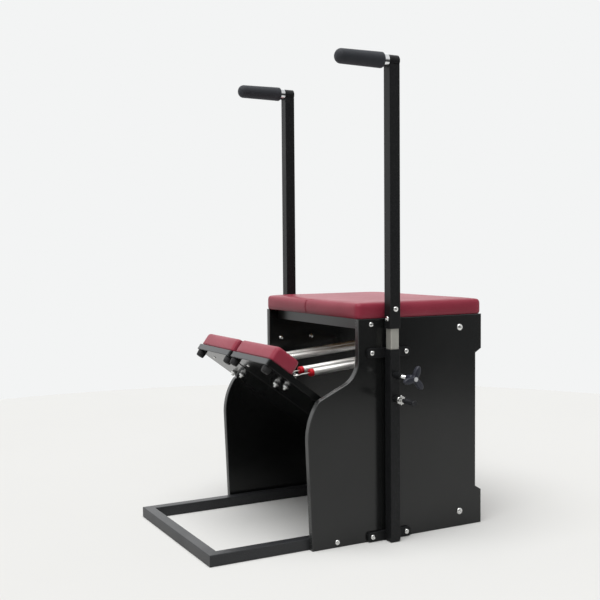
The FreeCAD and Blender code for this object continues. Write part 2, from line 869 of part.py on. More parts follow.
def pedal_bumpers():
    """Returns the rubber feet that land on the floor frame's front bar."""
    edge_gap = bumper_margin + bumper_radius
    levels = ((0, bumper_radius), (bumper_height, bumper_foot_radius))
    xs = (pedal_inner_x + edge_gap, pedal_outer_x - edge_gap)
    return [stack(levels, V(x, edge_gap, 0), -UP) for x in xs]


def pedal_eyebolts():
    """Returns the eyebolts that the springs hook into."""
    bolts = []
    for x in spring_x:
        eye = V(x, eye_s, eye_n)
        rings = []
        for count in range(eye_steps):
            way = 2 * math.pi * count / eye_steps
            out = UP * math.cos(way) + BACK * math.sin(way)
            turns = [2 * math.pi * side / eye_wire_sides for side in range(eye_wire_sides)]
            rings.append([eye + out * (eye_radius + eye_wire_radius * math.cos(turn))
                          + ACROSS * (eye_wire_radius * math.sin(turn)) for turn in turns])
        shank = many_sided(V(x, eye_s, -eye_shank_tail), eye - UP * eye_radius, eye_shank_radius)
        bolts.append(faceted(rings, True).fuse(shank))
    return bolts


def pedal_eyebolt_nuts():
    """Returns the nuts under the board that hold the eyebolts."""
    nuts = []
    for x in spring_x:
        seat = V(x, eye_s, 0)
        end = seat - UP * eye_nut_height
        bore = many_sided(seat, end, eye_shank_radius + bolt_clearance)
        nuts.append(many_sided(seat, end, eye_nut_across_flats / math.sqrt(3), 6).cut(bore))
    return nuts


def pedal_hinge_blocks():
    """Returns the bearing blocks under the board's back end, round the axle."""
    blocks = []
    half = hinge_flange_length / 2
    neck = hinge_drop - hinge_flange_thickness
    for x in hinge_block_xs:
        pen = Pen(lambda s, n: V(x, s, n), (pedal_reach - half, 0), -90)
        pen.forward(hinge_flange_thickness)
        pen.line_to((pedal_reach - hinge_block_radius, -hinge_flange_thickness))
        pen.forward(neck).bend(hinge_block_radius, 180).forward(neck)
        pen.line_to((pedal_reach + half, -hinge_flange_thickness)).forward(hinge_flange_thickness)
        pen.line_to((pedal_reach - half, 0))
        centre = V(x, pedal_reach, -hinge_drop)
        bore = rod(centre, centre + ACROSS * hinge_block_width, axle_radius + axle_clearance)
        blocks.append(prism(wire(pen.runs), ACROSS * hinge_block_width).cut(bore))
    return blocks


# Spring trees

def spring_tree():
    """Returns the left tree: a flat post with cross pins that the springs hang on."""
    half = tree_post_width / 2
    low = tree_pin_height - tree_pin_pitch * (tree_pin_count - 1) - tree_post_tail
    top = panel_height - tree_top_gap
    front = tree_y - tree_post_thickness / 2
    pen = Pen(lambda x, z: V(x, front, z), (tree_x - half, top), -90)
    pen.forward(top - low - half).bend(half, 180).forward(top - low - half).line_to((tree_x - half, top))
    tree = prism(wire(pen.runs), BACK * tree_post_thickness)
    for count in range(tree_pin_count):
        middle = V(tree_x, tree_y, tree_pin_height - count * tree_pin_pitch)
        for way in (ACROSS, -ACROSS):
            end = middle + way * tree_pin_reach
            tree = tree.fuse(many_sided(middle, end, tree_pin_radius))
            tree = tree.fuse(many_sided(end - way * tree_flange_width, end, tree_flange_radius))
    return tree.removeSplitter()


# Springs

def arc_from(start, heading, end):
    """Returns the arc that leaves a point along a heading and reaches another point."""
    chord = end - start
    way = V(chord).normalize()
    aside = (heading - way * heading.dot(way)).normalize()
    bulge = chord.Length / 2 * math.tan(heading.getAngle(way) / 2)
    return (start, (start + end) * 0.5 + aside * bulge, end)


def biarc(start, heading, end, last_heading):
    """Returns two tangent arcs that join two points with their headings."""
    chord = end - start
    lag = chord.dot(heading + last_heading)
    spread = 2 * (1 - heading.dot(last_heading))
    reach = (math.sqrt(lag * lag + spread * chord.dot(chord)) - lag) / spread
    middle = (start + heading * reach + end - last_heading * reach) * 0.5
    turn = (middle - start - heading * reach).normalize()
    return [arc_from(start, heading, middle), arc_from(middle, turn, end)]


class Spring:
    """One spring between a pedal's eyebolt and a tree's pin, along its own straight axis."""

    def __init__(self, x):
        eye = pedal_place().multVec(V(0, eye_s, eye_n))
        pin = V(0, tree_y, tree_pin_height)
        self.start = eye + ACROSS * x
        self.length = (pin - eye).Length
        self.along = (pin - eye).normalize()
        self.aside = self.along.cross(ACROSS)
        self.rise = math.sqrt(coil_radius * (coil_radius - 2 * coil_lead_radius))
        self.lean = math.atan2(coil_lead_radius, self.rise)

    def at(self, along, across, aside):
        """Returns a place along the axis, across the chair and aside in the side view."""
        return self.start + self.along * along + ACROSS * across + self.aside * aside

    def round(self, along, radius, angle):
        """Returns a place along the axis, at a radius and an angle round it."""
        return self.at(along, radius * math.cos(angle), radius * math.sin(angle))

    def hook(self, place, centre, way):
        """Returns a hook's runs from its neck on the axis to its free end."""
        reach = math.sqrt(hook_radius * (hook_radius + 2 * hook_neck_radius))
        pen = Pen(place, (centre + way * reach, 0), 90 + way * 90)
        pen.bend(hook_neck_radius, math.degrees(math.atan2(reach, hook_neck_radius)))
        return pen.bend(hook_radius, -hook_sweep).forward(2 * wire_radius).runs

    def lead(self, along, way, angle, side):
        """Returns the two arcs that take the wire from the axis out into the coil's circle."""
        start = along - way * self.rise
        bend = self.rise * math.sqrt(0.5)
        out = (self.round(start, 0, angle), self.round(start + way * bend, self.rise - bend, angle),
               self.round(along, self.rise, angle))
        centre = self.round(along, coil_radius - coil_lead_radius, angle + side * self.lean)
        middle = angle + side * (self.lean - math.pi / 2) / 2
        swing = centre + self.round(0, coil_lead_radius, middle) - self.start
        return [out, (out[2], swing, self.round(along, coil_radius, angle + side * self.lean))]

    def turns(self):
        """Returns the coil as two arcs to each half turn, level where it meets its leads."""
        pitch = (self.length - front_coil_inset - rear_coil_inset) / (coil_turns - 0.5)
        knots = []
        for half in range(2 * coil_turns + 1):
            angle = self.lean + math.pi * half
            climb = min(max(half / 2 - 0.25, 0), coil_turns - 0.5)
            slope = pitch / (2 * math.pi) if 0 < half < 2 * coil_turns else 0
            heading = (self.along * slope - ACROSS * (coil_radius * math.sin(angle))
                       + self.aside * (coil_radius * math.cos(angle))).normalize()
            knots.append((self.round(front_coil_inset + pitch * climb, coil_radius, angle), heading))
        runs = []
        for first, last in zip(knots, knots[1:]):
            runs += biarc(*first, *last)
        return runs

    def path(self):
        """Returns the whole wire's runs, from the front hook's free end to the rear hook's."""
        front_centre = eye_radius - eye_wire_radius - hook_clearance + hook_radius - wire_radius
        rear_centre = self.length + tree_pin_radius + hook_clearance - hook_radius + wire_radius
        front = backwards(self.hook(lambda a, b: self.at(a, b, 0), front_centre, 1))
        rear = self.hook(lambda a, b: self.at(a, 0, b), rear_centre, -1)
        front_lead = self.lead(front_coil_inset, 1, 0, 1)
        rear_lead = backwards(self.lead(self.length - rear_coil_inset, -1, 2 * self.lean, -1))
        return (front + [(front[-1][-1], front_lead[0][0])] + front_lead + self.turns() + rear_lead
                + [(rear_lead[-1][-1], rear[0][0])] + rear)

    def coil(self):
        """Returns the spring as one unbroken faceted wire."""
        runs = self.path()
        first = edge(runs[0])
        section = regular(runs[0][0], first.tangentAt(first.FirstParameter), wire_radius, wire_sides)
        return wire(runs).makePipeShell([section], True, False)

    def least_gap(self):
        """Returns the smallest gap between two stretches of the wire, measured on points."""
        points = wire(self.path()).discretize(Distance=gap_step)
        apart = math.ceil(math.pi * coil_lead_radius / gap_step)
        near = min(points[i].distanceToPoint(points[j])
                   for i in range(len(points)) for j in range(i + apart, len(points)))
        return near - 2 * wire_radius

    def cap(self, base, axis):
        """Returns a cap that closes one end of the coil round its straight shank."""
        bore = coil_radius + wire_radius + cap_clearance
        end = base + axis * cap_length
        cap = many_sided(base, end, bore + cap_rim_thickness)
        cap = cap.cut(many_sided_bore(base + axis * cap_wall, end, bore - cap_clearance / 2))
        return cap.cut(many_sided(base, end, wire_radius + cap_hole_clearance))

    def front_cap(self):
        """Returns the cap at the pedal's end."""
        return self.cap(self.at(front_cap_inset, 0, 0), self.along)

    def rear_cap(self):
        """Returns the cap at the tree's end."""
        return self.cap(self.at(self.length - rear_cap_inset, 0, 0), -self.along)


# Nodes

def pair(name, solids):
    """Returns the left and right nodes of a piece that is drawn for the left side."""
    return {f"{name}_left": solids, f"{name}_right": [mirrored(solid) for solid in solids]}


def frame_nodes():
    """Returns what stands still."""
    return {
        **pair("side_panel", [side_panel()]),
        "front_rail": [front_rail()],
        "rear_rail": [rear_rail()],
        "base_front_bar": [base_front_bar()],
        **pair("base_rail", [base_rail()]),
        "rail_plugs": both([rail_plug()]),
        "seat_board": [seat_board()],
        "seat_cushion": [seat_cushion()],
        **pair("socket", [socket()]),
        "pin_nuts": both([pin_nut()]),
        "panel_bolts": panel_bolts(),
        "cap_nuts": cap_nuts(),
        "rear_bolts": rear_bolts(),
        "spring_trees": both([spring_tree()]),
        "pedal_axle": [pedal_axle()],
        "axle_spacers": axle_spacers(),
    }


def moving_nodes():
    """Returns the pedals, the poles and what is clamped or pinned by hand."""
    return {
        **pair("pedal_board", on_pedal([pedal_board()])),
        **pair("pedal_pad", on_pedal([pedal_pad()])),
        **pair("pedal_bumpers", on_pedal(pedal_bumpers())),
        **pair("pedal_eyebolts", on_pedal(pedal_eyebolts())),
        **pair("pedal_eyebolt_nuts", on_pedal(pedal_eyebolt_nuts())),
        **pair("pedal_hinge_blocks", on_pedal(pedal_hinge_blocks())),
        **pair("pole_tube", [pole_tube()]),
        **pair("pole_sleeve", [pole_sleeve()]),
        **pair("handle_bar", [handle_bar()]),
        **pair("handle_collar", [handle_collar()]),
        **pair("handle_grip", [handle_grip()]),
        **pair("clamp_knob", [clamp_knob()]),
        **pair("clamp_stud", [clamp_stud()]),
        **pair("pin_plunger", [pin_plunger()]),
        **pair("pin_knob", [pin_knob()]),
    }


def spring_nodes():
    """Returns the springs and their caps, all wound the same way."""
    nodes = {}
    for name, side in (("left", 1), ("right", -1)):
        springs = [Spring(side * x) for x in spring_x]
        nodes[f"springs_{name}"] = [spring.coil() for spring in springs]
        nodes[f"spring_front_caps_{name}"] = [spring.front_cap() for spring in springs]
        nodes[f"spring_rear_caps_{name}"] = [spring.rear_cap() for spring in springs]
    return nodes


def main():
    """Builds every node and writes it to its file."""
    os.makedirs("parts", exist_ok=True)
    print("spring wire, least gap to itself", round(Spring(spring_x[0]).least_gap(), 2))
    for name, solids in {**frame_nodes(), **moving_nodes(), **spring_nodes()}.items():
        shape = solids[0] if len(solids) == 1 else Part.makeCompound(solids)
        shape.exportStep(f"parts/{name}.step")


main()
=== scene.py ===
import logging
import math
from dataclasses import dataclass
from enum import Enum
from typing import Any, Iterable, Sequence

import bmesh
import bpy
from mathutils import Matrix, Vector
from mathutils.bvhtree import BVHTree


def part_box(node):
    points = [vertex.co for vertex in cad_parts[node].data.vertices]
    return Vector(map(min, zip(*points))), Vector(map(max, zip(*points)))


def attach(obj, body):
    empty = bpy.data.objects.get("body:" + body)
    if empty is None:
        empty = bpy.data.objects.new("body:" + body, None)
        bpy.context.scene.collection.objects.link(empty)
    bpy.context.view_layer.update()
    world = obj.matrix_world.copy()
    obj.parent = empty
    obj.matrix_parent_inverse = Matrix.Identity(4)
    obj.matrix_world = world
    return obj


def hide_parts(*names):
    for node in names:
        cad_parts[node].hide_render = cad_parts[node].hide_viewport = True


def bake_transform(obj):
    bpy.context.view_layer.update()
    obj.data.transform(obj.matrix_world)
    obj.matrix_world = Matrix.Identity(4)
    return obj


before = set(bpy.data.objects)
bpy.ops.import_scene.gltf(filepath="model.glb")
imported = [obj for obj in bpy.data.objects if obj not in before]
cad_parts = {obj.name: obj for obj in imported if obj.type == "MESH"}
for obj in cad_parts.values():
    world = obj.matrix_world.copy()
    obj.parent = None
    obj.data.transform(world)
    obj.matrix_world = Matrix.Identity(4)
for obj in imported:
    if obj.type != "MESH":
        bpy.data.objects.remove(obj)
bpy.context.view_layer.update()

# Pilates chair: two sprung pedals, a padded seat and two handle poles.
# Metres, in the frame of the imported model: +Z up, -Y the front, +X the sitter's left.
# A sharp edge that is only broken is broken by BREAK.

log = logging.getLogger("chair")

Point = Sequence[float]
Colour = tuple[float, float, float, float]
Ring = Sequence[float]
Spot = tuple[Point, Point]

FULL_TURN = 2 * math.pi
QUARTER = math.pi / 2
BREAK = 0.0006


class Side(Enum):
    """The two hands of the chair, by the sign of their X."""

    LEFT = 1
    RIGHT = -1

    @property
    def word(self) -> str:
        """The side's word in the names of bodies and nodes."""
        return self.name.lower()


class Slot(Enum):
    """The record's material slots."""

    PANEL = "panel_black"
    TIMBER = "board_wood"
    VINYL = "vinyl_burgundy"
    POWDER = "frame_black"
    CHROME = "chrome"
    STEEL = "bright_steel"
    CAP = "cap_red"
    KNOB = "knob_black"
    RUBBER = "rubber_black"
    FOAM = "foam_black"


def tint(red: int, green: int, blue: int) -> Colour:
    """Gives the linear colour of a display colour.

    Args:
        red: Red, 0 to 255.
        green: Green, 0 to 255.
        blue: Blue, 0 to 255.

    Returns:
        The linear colour, opaque.
    """
    shares = [channel / 255 for channel in (red, green, blue)]
    linear = [s / 12.92 if s <= 0.04045 else ((s + 0.055) / 1.055) ** 2.4 for s in shares]
    return (linear[0], linear[1], linear[2], 1.0)


# Node trees

class Term:
    """A socket in an expression, where each operator adds a Math node."""

    def __init__(self, net: "Net", socket: bpy.types.NodeSocket) -> None:
        """Keeps the tree and the socket."""
        self.net = net
        self.socket = socket

    def __add__(self, other: Any) -> "Term":
        """Sum."""
        return self.net.math("ADD", self, other)

    def __radd__(self, other: Any) -> "Term":
        """Sum, with the number first."""
        return self.net.math("ADD", other, self)

    def __sub__(self, other: Any) -> "Term":
        """Difference."""
        return self.net.math("SUBTRACT", self, other)

    def __rsub__(self, other: Any) -> "Term":
        """Difference, with the number first."""
        return self.net.math("SUBTRACT", other, self)

    def __mul__(self, other: Any) -> "Term":
        """Product."""
        return self.net.math("MULTIPLY", self, other)

    def __rmul__(self, other: Any) -> "Term":
        """Product, with the number first."""
        return self.net.math("MULTIPLY", other, self)

    def __truediv__(self, other: Any) -> "Term":
        """Quotient."""
        return self.net.math("DIVIDE", self, other)

    def __rtruediv__(self, other: Any) -> "Term":
        """Quotient, with the number first."""
        return self.net.math("DIVIDE", other, self)

    def __abs__(self) -> "Term":
        """Size without sign."""
        return self.net.math("ABSOLUTE", self)


class Net:
    """A node tree in the making, of a finish or of geometry."""

    def __init__(self, tree: bpy.types.NodeTree) -> None:
        """Keeps the tree."""
        self.tree = tree

    @staticmethod
    def plug(sockets: Any, key: str | int) -> bpy.types.NodeSocket:
        """Finds a socket by its index, its identifier or its name.

        Args:
            sockets: A node's inputs or outputs.
            key: The index, the identifier or the name.

        Returns:
            The socket.
        """
        if isinstance(key, int):
            return sockets[key]
        found = [s for s in sockets if s.identifier == key] or [s for s in sockets if s.name == key]
        return found[0]

    def feed(self, socket: bpy.types.NodeSocket, value: Any) -> None:
        """Links a term to a socket, or sets a plain value on it.

        Args:
            socket: The socket to feed.
            value: A term, or a value of the socket's type.
        """
        if isinstance(value, Term):
            self.tree.links.new(value.socket, socket)
        else:
            socket.default_value = value

    def node(self, kind: str, settings: dict | None = None, sockets: dict | None = None) -> bpy.types.Node:
        """Adds a node.

        Args:
            kind: The node's type.
            settings: Properties of the node, set first.
            sockets: Values or terms by socket.

        Returns:
            The node.
        """
        made = self.tree.nodes.new(kind)
        for key, value in (settings or {}).items():
            setattr(made, key, value)
        for key, value in (sockets or {}).items():
            self.feed(self.plug(made.inputs, key), value)
        return made

    def term(self, kind: str, out: str | int,
             settings: dict | None = None, sockets: dict | None = None) -> Term:
        """Adds a node and gives the output with an index, identifier or name; see node for the rest."""
        return Term(self, self.plug(self.node(kind, settings, sockets).outputs, out))

    def math(self, operation: str, *values: Any) -> Term:
        """Adds a Math node of an operation on one to three values."""
        return self.term("ShaderNodeMath", 0, {"operation": operation}, dict(enumerate(values)))

    def dot(self, first: Term, second: Any) -> Term:
        """Multiplies two vectors to a number."""
        return self.term("ShaderNodeVectorMath", "Value", {"operation": "DOT_PRODUCT"}, {0: first, 1: second})

    def span(self, value: Term, low: float, high: float, first: float = 0.0, last: float = 1.0) -> Term:
        """Turns a range of a value into another range, and clamps it.

        Args:
            value: The value.
            low: What becomes the first end.
            high: What becomes the last end.
            first: The first end.
            last: The last end.

        Returns:
            The value in the new range.
        """
        keys = ("Value", "From Min", "From Max", "To Min", "To Max")
        sockets = dict(zip(keys, (value, low, high, first, last)))
        return self.term("ShaderNodeMapRange", 0, {"interpolation_type": "SMOOTHSTEP"}, sockets)

    def parts(self, vector: Term) -> tuple[Term, Term, Term]:
        """Splits a vector.

        Args:
            vector: The vector.

        Returns:
            Its X, Y and Z.
        """
        split = self.node("ShaderNodeSeparateXYZ", None, {0: vector})
        x, y, z = (Term(self, out) for out in split.outputs)
        return x, y, z


class Surface(Net):
    """A material in the making, with what the finishes share."""

    def __init__(self, name: str) -> None:
        """Starts an empty material on Object coordinates.

        Args:
            name: The material's name.
        """
        self.material = bpy.data.materials.new(name)
        self.material.use_nodes = True
        super().__init__(self.material.node_tree)
        self.tree.nodes.clear()
        coordinates = self.node("ShaderNodeTexCoord")
        self.place = Term(self, coordinates.outputs["Object"])
        self.facing = Term(self, coordinates.outputs["Normal"])

    def stretched(self, scale: Point) -> Term:
        """Gives the place, scaled apart along X, Y and Z."""
        sockets = {"Vector": self.place, "Scale": scale}
        return self.term("ShaderNodeMapping", 0, {"vector_type": "POINT"}, sockets)

    def noise(self, scale: float, detail: float = 2.0,
              roughness: float = 0.5, place: Term | None = None) -> Term:
        """Gives noise of about 0 to 1, in waves per metre; it is read at the plain place if none is given."""
        sockets = {"Vector": place or self.place, "Scale": scale, "Detail": detail, "Roughness": roughness}
        return self.term("ShaderNodeTexNoise", 0, None, sockets)

    def cells(self, scale: float) -> Term:
        """Gives the distances of a cell pattern, with so many cells per metre."""
        return self.term("ShaderNodeTexVoronoi", "Distance", None, {"Vector": self.place, "Scale": scale})

    def mix(self, share: Any, first: Any, second: Any) -> Term:
        """Mixes two colours.

        Args:
            share: How much of the second.
            first: A colour.
            second: A colour.

        Returns:
            The mixed colour.
        """
        settings = {"data_type": "RGBA", "clamp_factor": True}
        sockets = {"Factor_Float": share, "A_Color": first, "B_Color": second}
        return self.term("ShaderNodeMix", "Result_Color", settings, sockets)

    def arris(self, radius: float) -> Term:
        """Finds the edges of a shape.

        Args:
            radius: How far from an edge it reaches.

        Returns:
            About 1 on an edge and 0 on a face.
        """
        rounded = self.term("ShaderNodeBevel", 0, {"samples": 4}, {"Radius": radius})
        plain = self.term("ShaderNodeNewGeometry", "Normal")
        return self.span(1 - self.dot(rounded, plain), 0.01, 0.2)

    def bump(self, height: Term, strength: float, distance: float, under: Term | None = None) -> Term:
        """Adds relief.

        Args:
            height: The height, about 0 to 1.
            strength: How much of it shows.
            distance: The relief's depth in metres.
            under: Another relief below it.

        Returns:
            The normal.
        """
        sockets = {"Height": height, "Strength": strength, "Distance": distance}
        if under is not None:
            sockets["Normal"] = under
        return self.term("ShaderNodeBump", 0, None, sockets)

    def close(self, sockets: dict) -> bpy.types.Material:
        """Ends the material.

        Args:
            sockets: Values or terms of the shader.

        Returns:
            The material.
        """
        shader = self.term("ShaderNodeBsdfPrincipled", 0, None, sockets)
        self.node("ShaderNodeOutputMaterial", None, {"Surface": shader})
        return self.material


# Finishes

@dataclass(frozen=True)
class Finish:
    """A finish: its name, the record's slot, its colour and how rough it is."""

    name: str
    slot: Slot
    colour: Colour
    roughness: float

    def material(self) -> bpy.types.Material:
        """Gives the finish's material, painted at its first use."""
        return bpy.data.materials.get(self.name) or self.paint(Surface(self.name))

    def paint(self, surface: Surface) -> bpy.types.Material:
        """Paints the finish; each kind has its own way."""
        raise NotImplementedError(self.name)


@dataclass(frozen=True)
class Lacquer(Finish):
    """Black sprayed board, with a painted grey highlight on the faces that face along chosen axes, and
    arrises that are rubbed a little.
    """

    # The painted highlight's grey, which stands in for light and reflections on faces along the chosen axes.
    painted_highlight: Colour = tint(50, 51, 51)
    rubbed: Colour = tint(96, 95, 93)
    haze: Colour = tint(28, 29, 29)
    # The axes whose faces take the painted highlight, and below how much of it shows.
    painted_lit: Point = (0.0, 1.0, 1.0)
    gloss: float = 0.4
    painted_highlight_share: float = 0.75
    rub_share: float = 0.7
    rub_reach: float = 0.0012
    rub_scale: float = 45.0
    cloud_scale: float = 4.0
    speck_scale: float = 340.0
    peel_scale: float = 900.0
    peel_depth: float = 0.0002

    def paint(self, surface: Surface) -> bpy.types.Material:
        """Paints clouded black faces, a painted grey highlight on the faces that face along chosen axes, and
        rubbed arrises.

        Args:
            surface: The material in the making.

        Returns:
            The material.
        """
        cloud = surface.noise(self.cloud_scale, 3.0)
        speck = surface.noise(self.speck_scale, 2.0)
        # Painted highlight: faces that face along the chosen axes are painted greyer, standing in for the
        # light and reflections that catch them.
        settings = {"operation": "ABSOLUTE"}
        ways = surface.term("ShaderNodeVectorMath", "Vector", settings, {0: surface.facing})
        edge = surface.span(surface.dot(ways, self.painted_lit), 0.64, 0.76)
        rub = surface.arris(self.rub_reach) * surface.span(surface.noise(self.rub_scale, 4.0), 0.4, 0.65)
        faces = surface.mix(surface.span(cloud, 0.35, 0.75), self.colour, self.haze)
        # Mixes the painted highlight grey over those faces.
        painted_lit = surface.mix(edge * self.painted_highlight_share, faces, self.painted_highlight)
        base = surface.mix(rub * self.rub_share, painted_lit, self.rubbed)
        rough = self.roughness + (cloud - 0.5) * 0.1 + (speck - 0.5) * 0.06 + edge * 0.06
        relief = surface.bump(surface.noise(self.peel_scale, 1.0), 0.06, self.peel_depth)
        return surface.close({
            "Base Color": base, "Roughness": rough, "Specular IOR Level": self.gloss, "Normal": relief,
        })


@dataclass(frozen=True)
class Powder(Finish):
    """Black powder coat on steel, with its peel and a little wear on the arrises."""

    rubbed: Colour = tint(88, 88, 90)
    gloss: float = 0.18
    fleck_share: float = 0.35
    rub_share: float = 0.55
    rub_reach: float = 0.0012
    rub_scale: float = 70.0
    cloud_scale: float = 9.0
    fleck_scale: float = 420.0
    peel_scale: float = 1100.0
    peel_depth: float = 0.00025

    def paint(self, surface: Surface) -> bpy.types.Material:
        """Paints a peeled coat that is rubbed on its arrises.

        Args:
            surface: The material in the making.

        Returns:
            The material.
        """
        cloud = surface.noise(self.cloud_scale, 3.0)
        fleck = surface.noise(self.fleck_scale, 2.0, 0.6)
        rub = surface.arris(self.rub_reach) * surface.span(surface.noise(self.rub_scale, 4.0), 0.45, 0.62)
        dusted = surface.mix(surface.span(fleck, 0.5, 0.8) * self.fleck_share, self.colour, self.rubbed)
        base = surface.mix(rub * self.rub_share, dusted, self.rubbed)
        rough = self.roughness + (cloud - 0.5) * 0.14 + (fleck - 0.5) * 0.12
        relief = surface.bump(surface.noise(self.peel_scale, 2.0), 0.16, self.peel_depth)
        return surface.close({
            "Base Color": base, "Roughness": rough, "Specular IOR Level": self.gloss, "Normal": relief,
        })


@dataclass(frozen=True)
class Vinyl(Finish):
    """Soft grained vinyl, with slow shifts of colour and a faint sheen."""

    deep: Colour = tint(128, 38, 54)
    pale: Colour = tint(170, 78, 94)
    sheen: Colour = tint(240, 214, 216)
    gloss: float = 0.22
    cloud_scale: float = 7.0
    cloud_share: float = 0.55
    grain_scale: float = 850.0
    grain_share: float = 0.22
    grain_depth: float = 0.00028
    crease_scale: float = 38.0
    crease_share: float = 0.18
    crease_depth: float = 0.0012

    def paint(self, surface: Surface) -> bpy.types.Material:
        """Paints pebbled grain over slow creases.

        Args:
            surface: The material in the making.

        Returns:
            The material.
        """
        cloud = surface.noise(self.cloud_scale, 4.0)
        pebble = surface.cells(self.grain_scale)
        crease = surface.noise(self.crease_scale, 5.0, 0.6)
        base = surface.mix(surface.span(cloud, 0.3, 0.75) * self.cloud_share, self.colour, self.deep)
        base = surface.mix(surface.span(pebble, 0.25, 0.75) * self.grain_share, base, self.deep)
        base = surface.mix(surface.span(crease, 0.55, 0.8) * self.crease_share, base, self.pale)
        rough = self.roughness + (cloud - 0.5) * 0.12 + (pebble - 0.4) * 0.1
        slow = surface.bump(crease, 0.12, self.crease_depth)
        relief = surface.bump(1 - pebble, 0.3, self.grain_depth, slow)
        return surface.close({
            "Base Color": base, "Roughness": rough, "Specular IOR Level": self.gloss, "Normal": relief,
            "Sheen Weight": 0.05, "Sheen Roughness": 0.4, "Sheen Tint": self.sheen,
            "Coat Weight": 0.06, "Coat Roughness": 0.35,
        })


@dataclass(frozen=True)
class Plated(Finish):
    """Bright plated metal with fine handling marks."""

    dull: Colour = tint(150, 150, 148)
    drawn: Point = (1.0, 1.0, 1.0)
    smear: float = 0.35
    metal: float = 1.0
    cloud_scale: float = 30.0
    line_scale: float = 260.0
    line_depth: float = 0.0001

    def paint(self, surface: Surface) -> bpy.types.Material:
        """Paints a clouded plate with fine drawn lines.

        Args:
            surface: The material in the making.

        Returns:
            The material.
        """
        cloud = surface.noise(self.cloud_scale, 4.0)
        lines = surface.noise(self.line_scale, 3.0, 0.6, surface.stretched(self.drawn))
        base = surface.mix(surface.span(cloud, 0.45, 0.8) * self.smear, self.colour, self.dull)
        rough = self.roughness + (lines - 0.5) * 0.14 + (cloud - 0.5) * 0.1
        relief = surface.bump(lines, 0.06, self.line_depth)
        return surface.close({
            "Base Color": base, "Metallic": self.metal, "Roughness": rough, "Normal": relief,
        })


@dataclass(frozen=True)
class Moulded(Finish):
    """Moulded plastic or rubber, with a fine spark-eroded grain and scuffs."""

    scuff: Colour = tint(90, 90, 96)
    grain_scale: float = 1400.0
    grain_depth: float = 0.0001
    scuffed: float = 0.25
    cloud_scale: float = 50.0
    gloss: float = 0.3

    def paint(self, surface: Surface) -> bpy.types.Material:
        """Paints grain and scuffs.

        Args:
            surface: The material in the making.

        Returns:
            The material.
        """
        cloud = surface.noise(self.cloud_scale, 4.0)
        grain = surface.noise(self.grain_scale, 2.0)
        base = surface.mix(surface.span(cloud, 0.5, 0.8) * self.scuffed, self.colour, self.scuff)
        rough = self.roughness + (cloud - 0.5) * 0.15 + (grain - 0.5) * 0.1
        relief = surface.bump(grain, 0.35, self.grain_depth)
        return surface.close({
            "Base Color": base, "Roughness": rough, "Specular IOR Level": self.gloss, "Normal": relief,
        })


@dataclass(frozen=True)
class Foam(Finish):
    """Closed-cell foam, with its open pores at the skin."""

    worn: Colour = tint(62, 64, 70)
    pore: Colour = tint(12, 12, 13)
    sheen: Colour = tint(170, 176, 190)
    gloss: float = 0.35
    cloud_scale: float = 22.0
    cloud_share: float = 0.35
    pore_scale: float = 1500.0
    pore_share: float = 0.4
    pore_depth: float = 0.0003
    skin_scale: float = 240.0
    skin_depth: float = 0.0006

    def paint(self, surface: Surface) -> bpy.types.Material:
        """Paints a skin of small pores.

        Args:
            surface: The material in the making.

        Returns:
            The material.
        """
        cloud = surface.noise(self.cloud_scale, 4.0)
        pores = surface.cells(self.pore_scale)
        skin = surface.noise(self.skin_scale, 3.0)
        base = surface.mix(surface.span(cloud, 0.4, 0.75) * self.cloud_share, self.colour, self.worn)
        base = surface.mix(surface.span(pores, 0.5, 0.1) * self.pore_share, base, self.pore)
        rough = self.roughness + (skin - 0.5) * 0.12
        under = surface.bump(skin, 0.15, self.skin_depth)
        relief = surface.bump(pores, 0.4, self.pore_depth, under)
        return surface.close({
            "Base Color": base, "Roughness": rough, "Specular IOR Level": self.gloss, "Normal": relief,
            "Sheen Weight": 0.1, "Sheen Roughness": 0.5, "Sheen Tint": self.sheen,
        })


@dataclass(frozen=True)
class Timber(Finish):
    """Bare plywood with its grain along X."""

    dark: Colour = tint(150, 112, 74)
    gloss: float = 0.3
    grain_scale: float = 60.0
    grain_drawn: Point = (0.08, 1.0, 1.0)
    pore_scale: float = 420.0
    pore_drawn: Point = (0.05, 1.0, 1.0)
    pore_depth: float = 0.0002

    def paint(self, surface: Surface) -> bpy.types.Material:
        """Paints drawn-out grain.

        Args:
            surface: The material in the making.

        Returns:
            The material.
        """
        grain = surface.noise(self.grain_scale, 6.0, 0.65, surface.stretched(self.grain_drawn))
        pores = surface.noise(self.pore_scale, 2.0, 0.5, surface.stretched(self.pore_drawn))
        base = surface.mix(surface.span(grain, 0.35, 0.7), self.colour, self.dark)
        rough = self.roughness + (pores - 0.5) * 0.2
        return surface.close({
            "Base Color": base, "Roughness": rough, "Specular IOR Level": self.gloss,
            "Normal": surface.bump(pores, 0.2, self.pore_depth),
        })


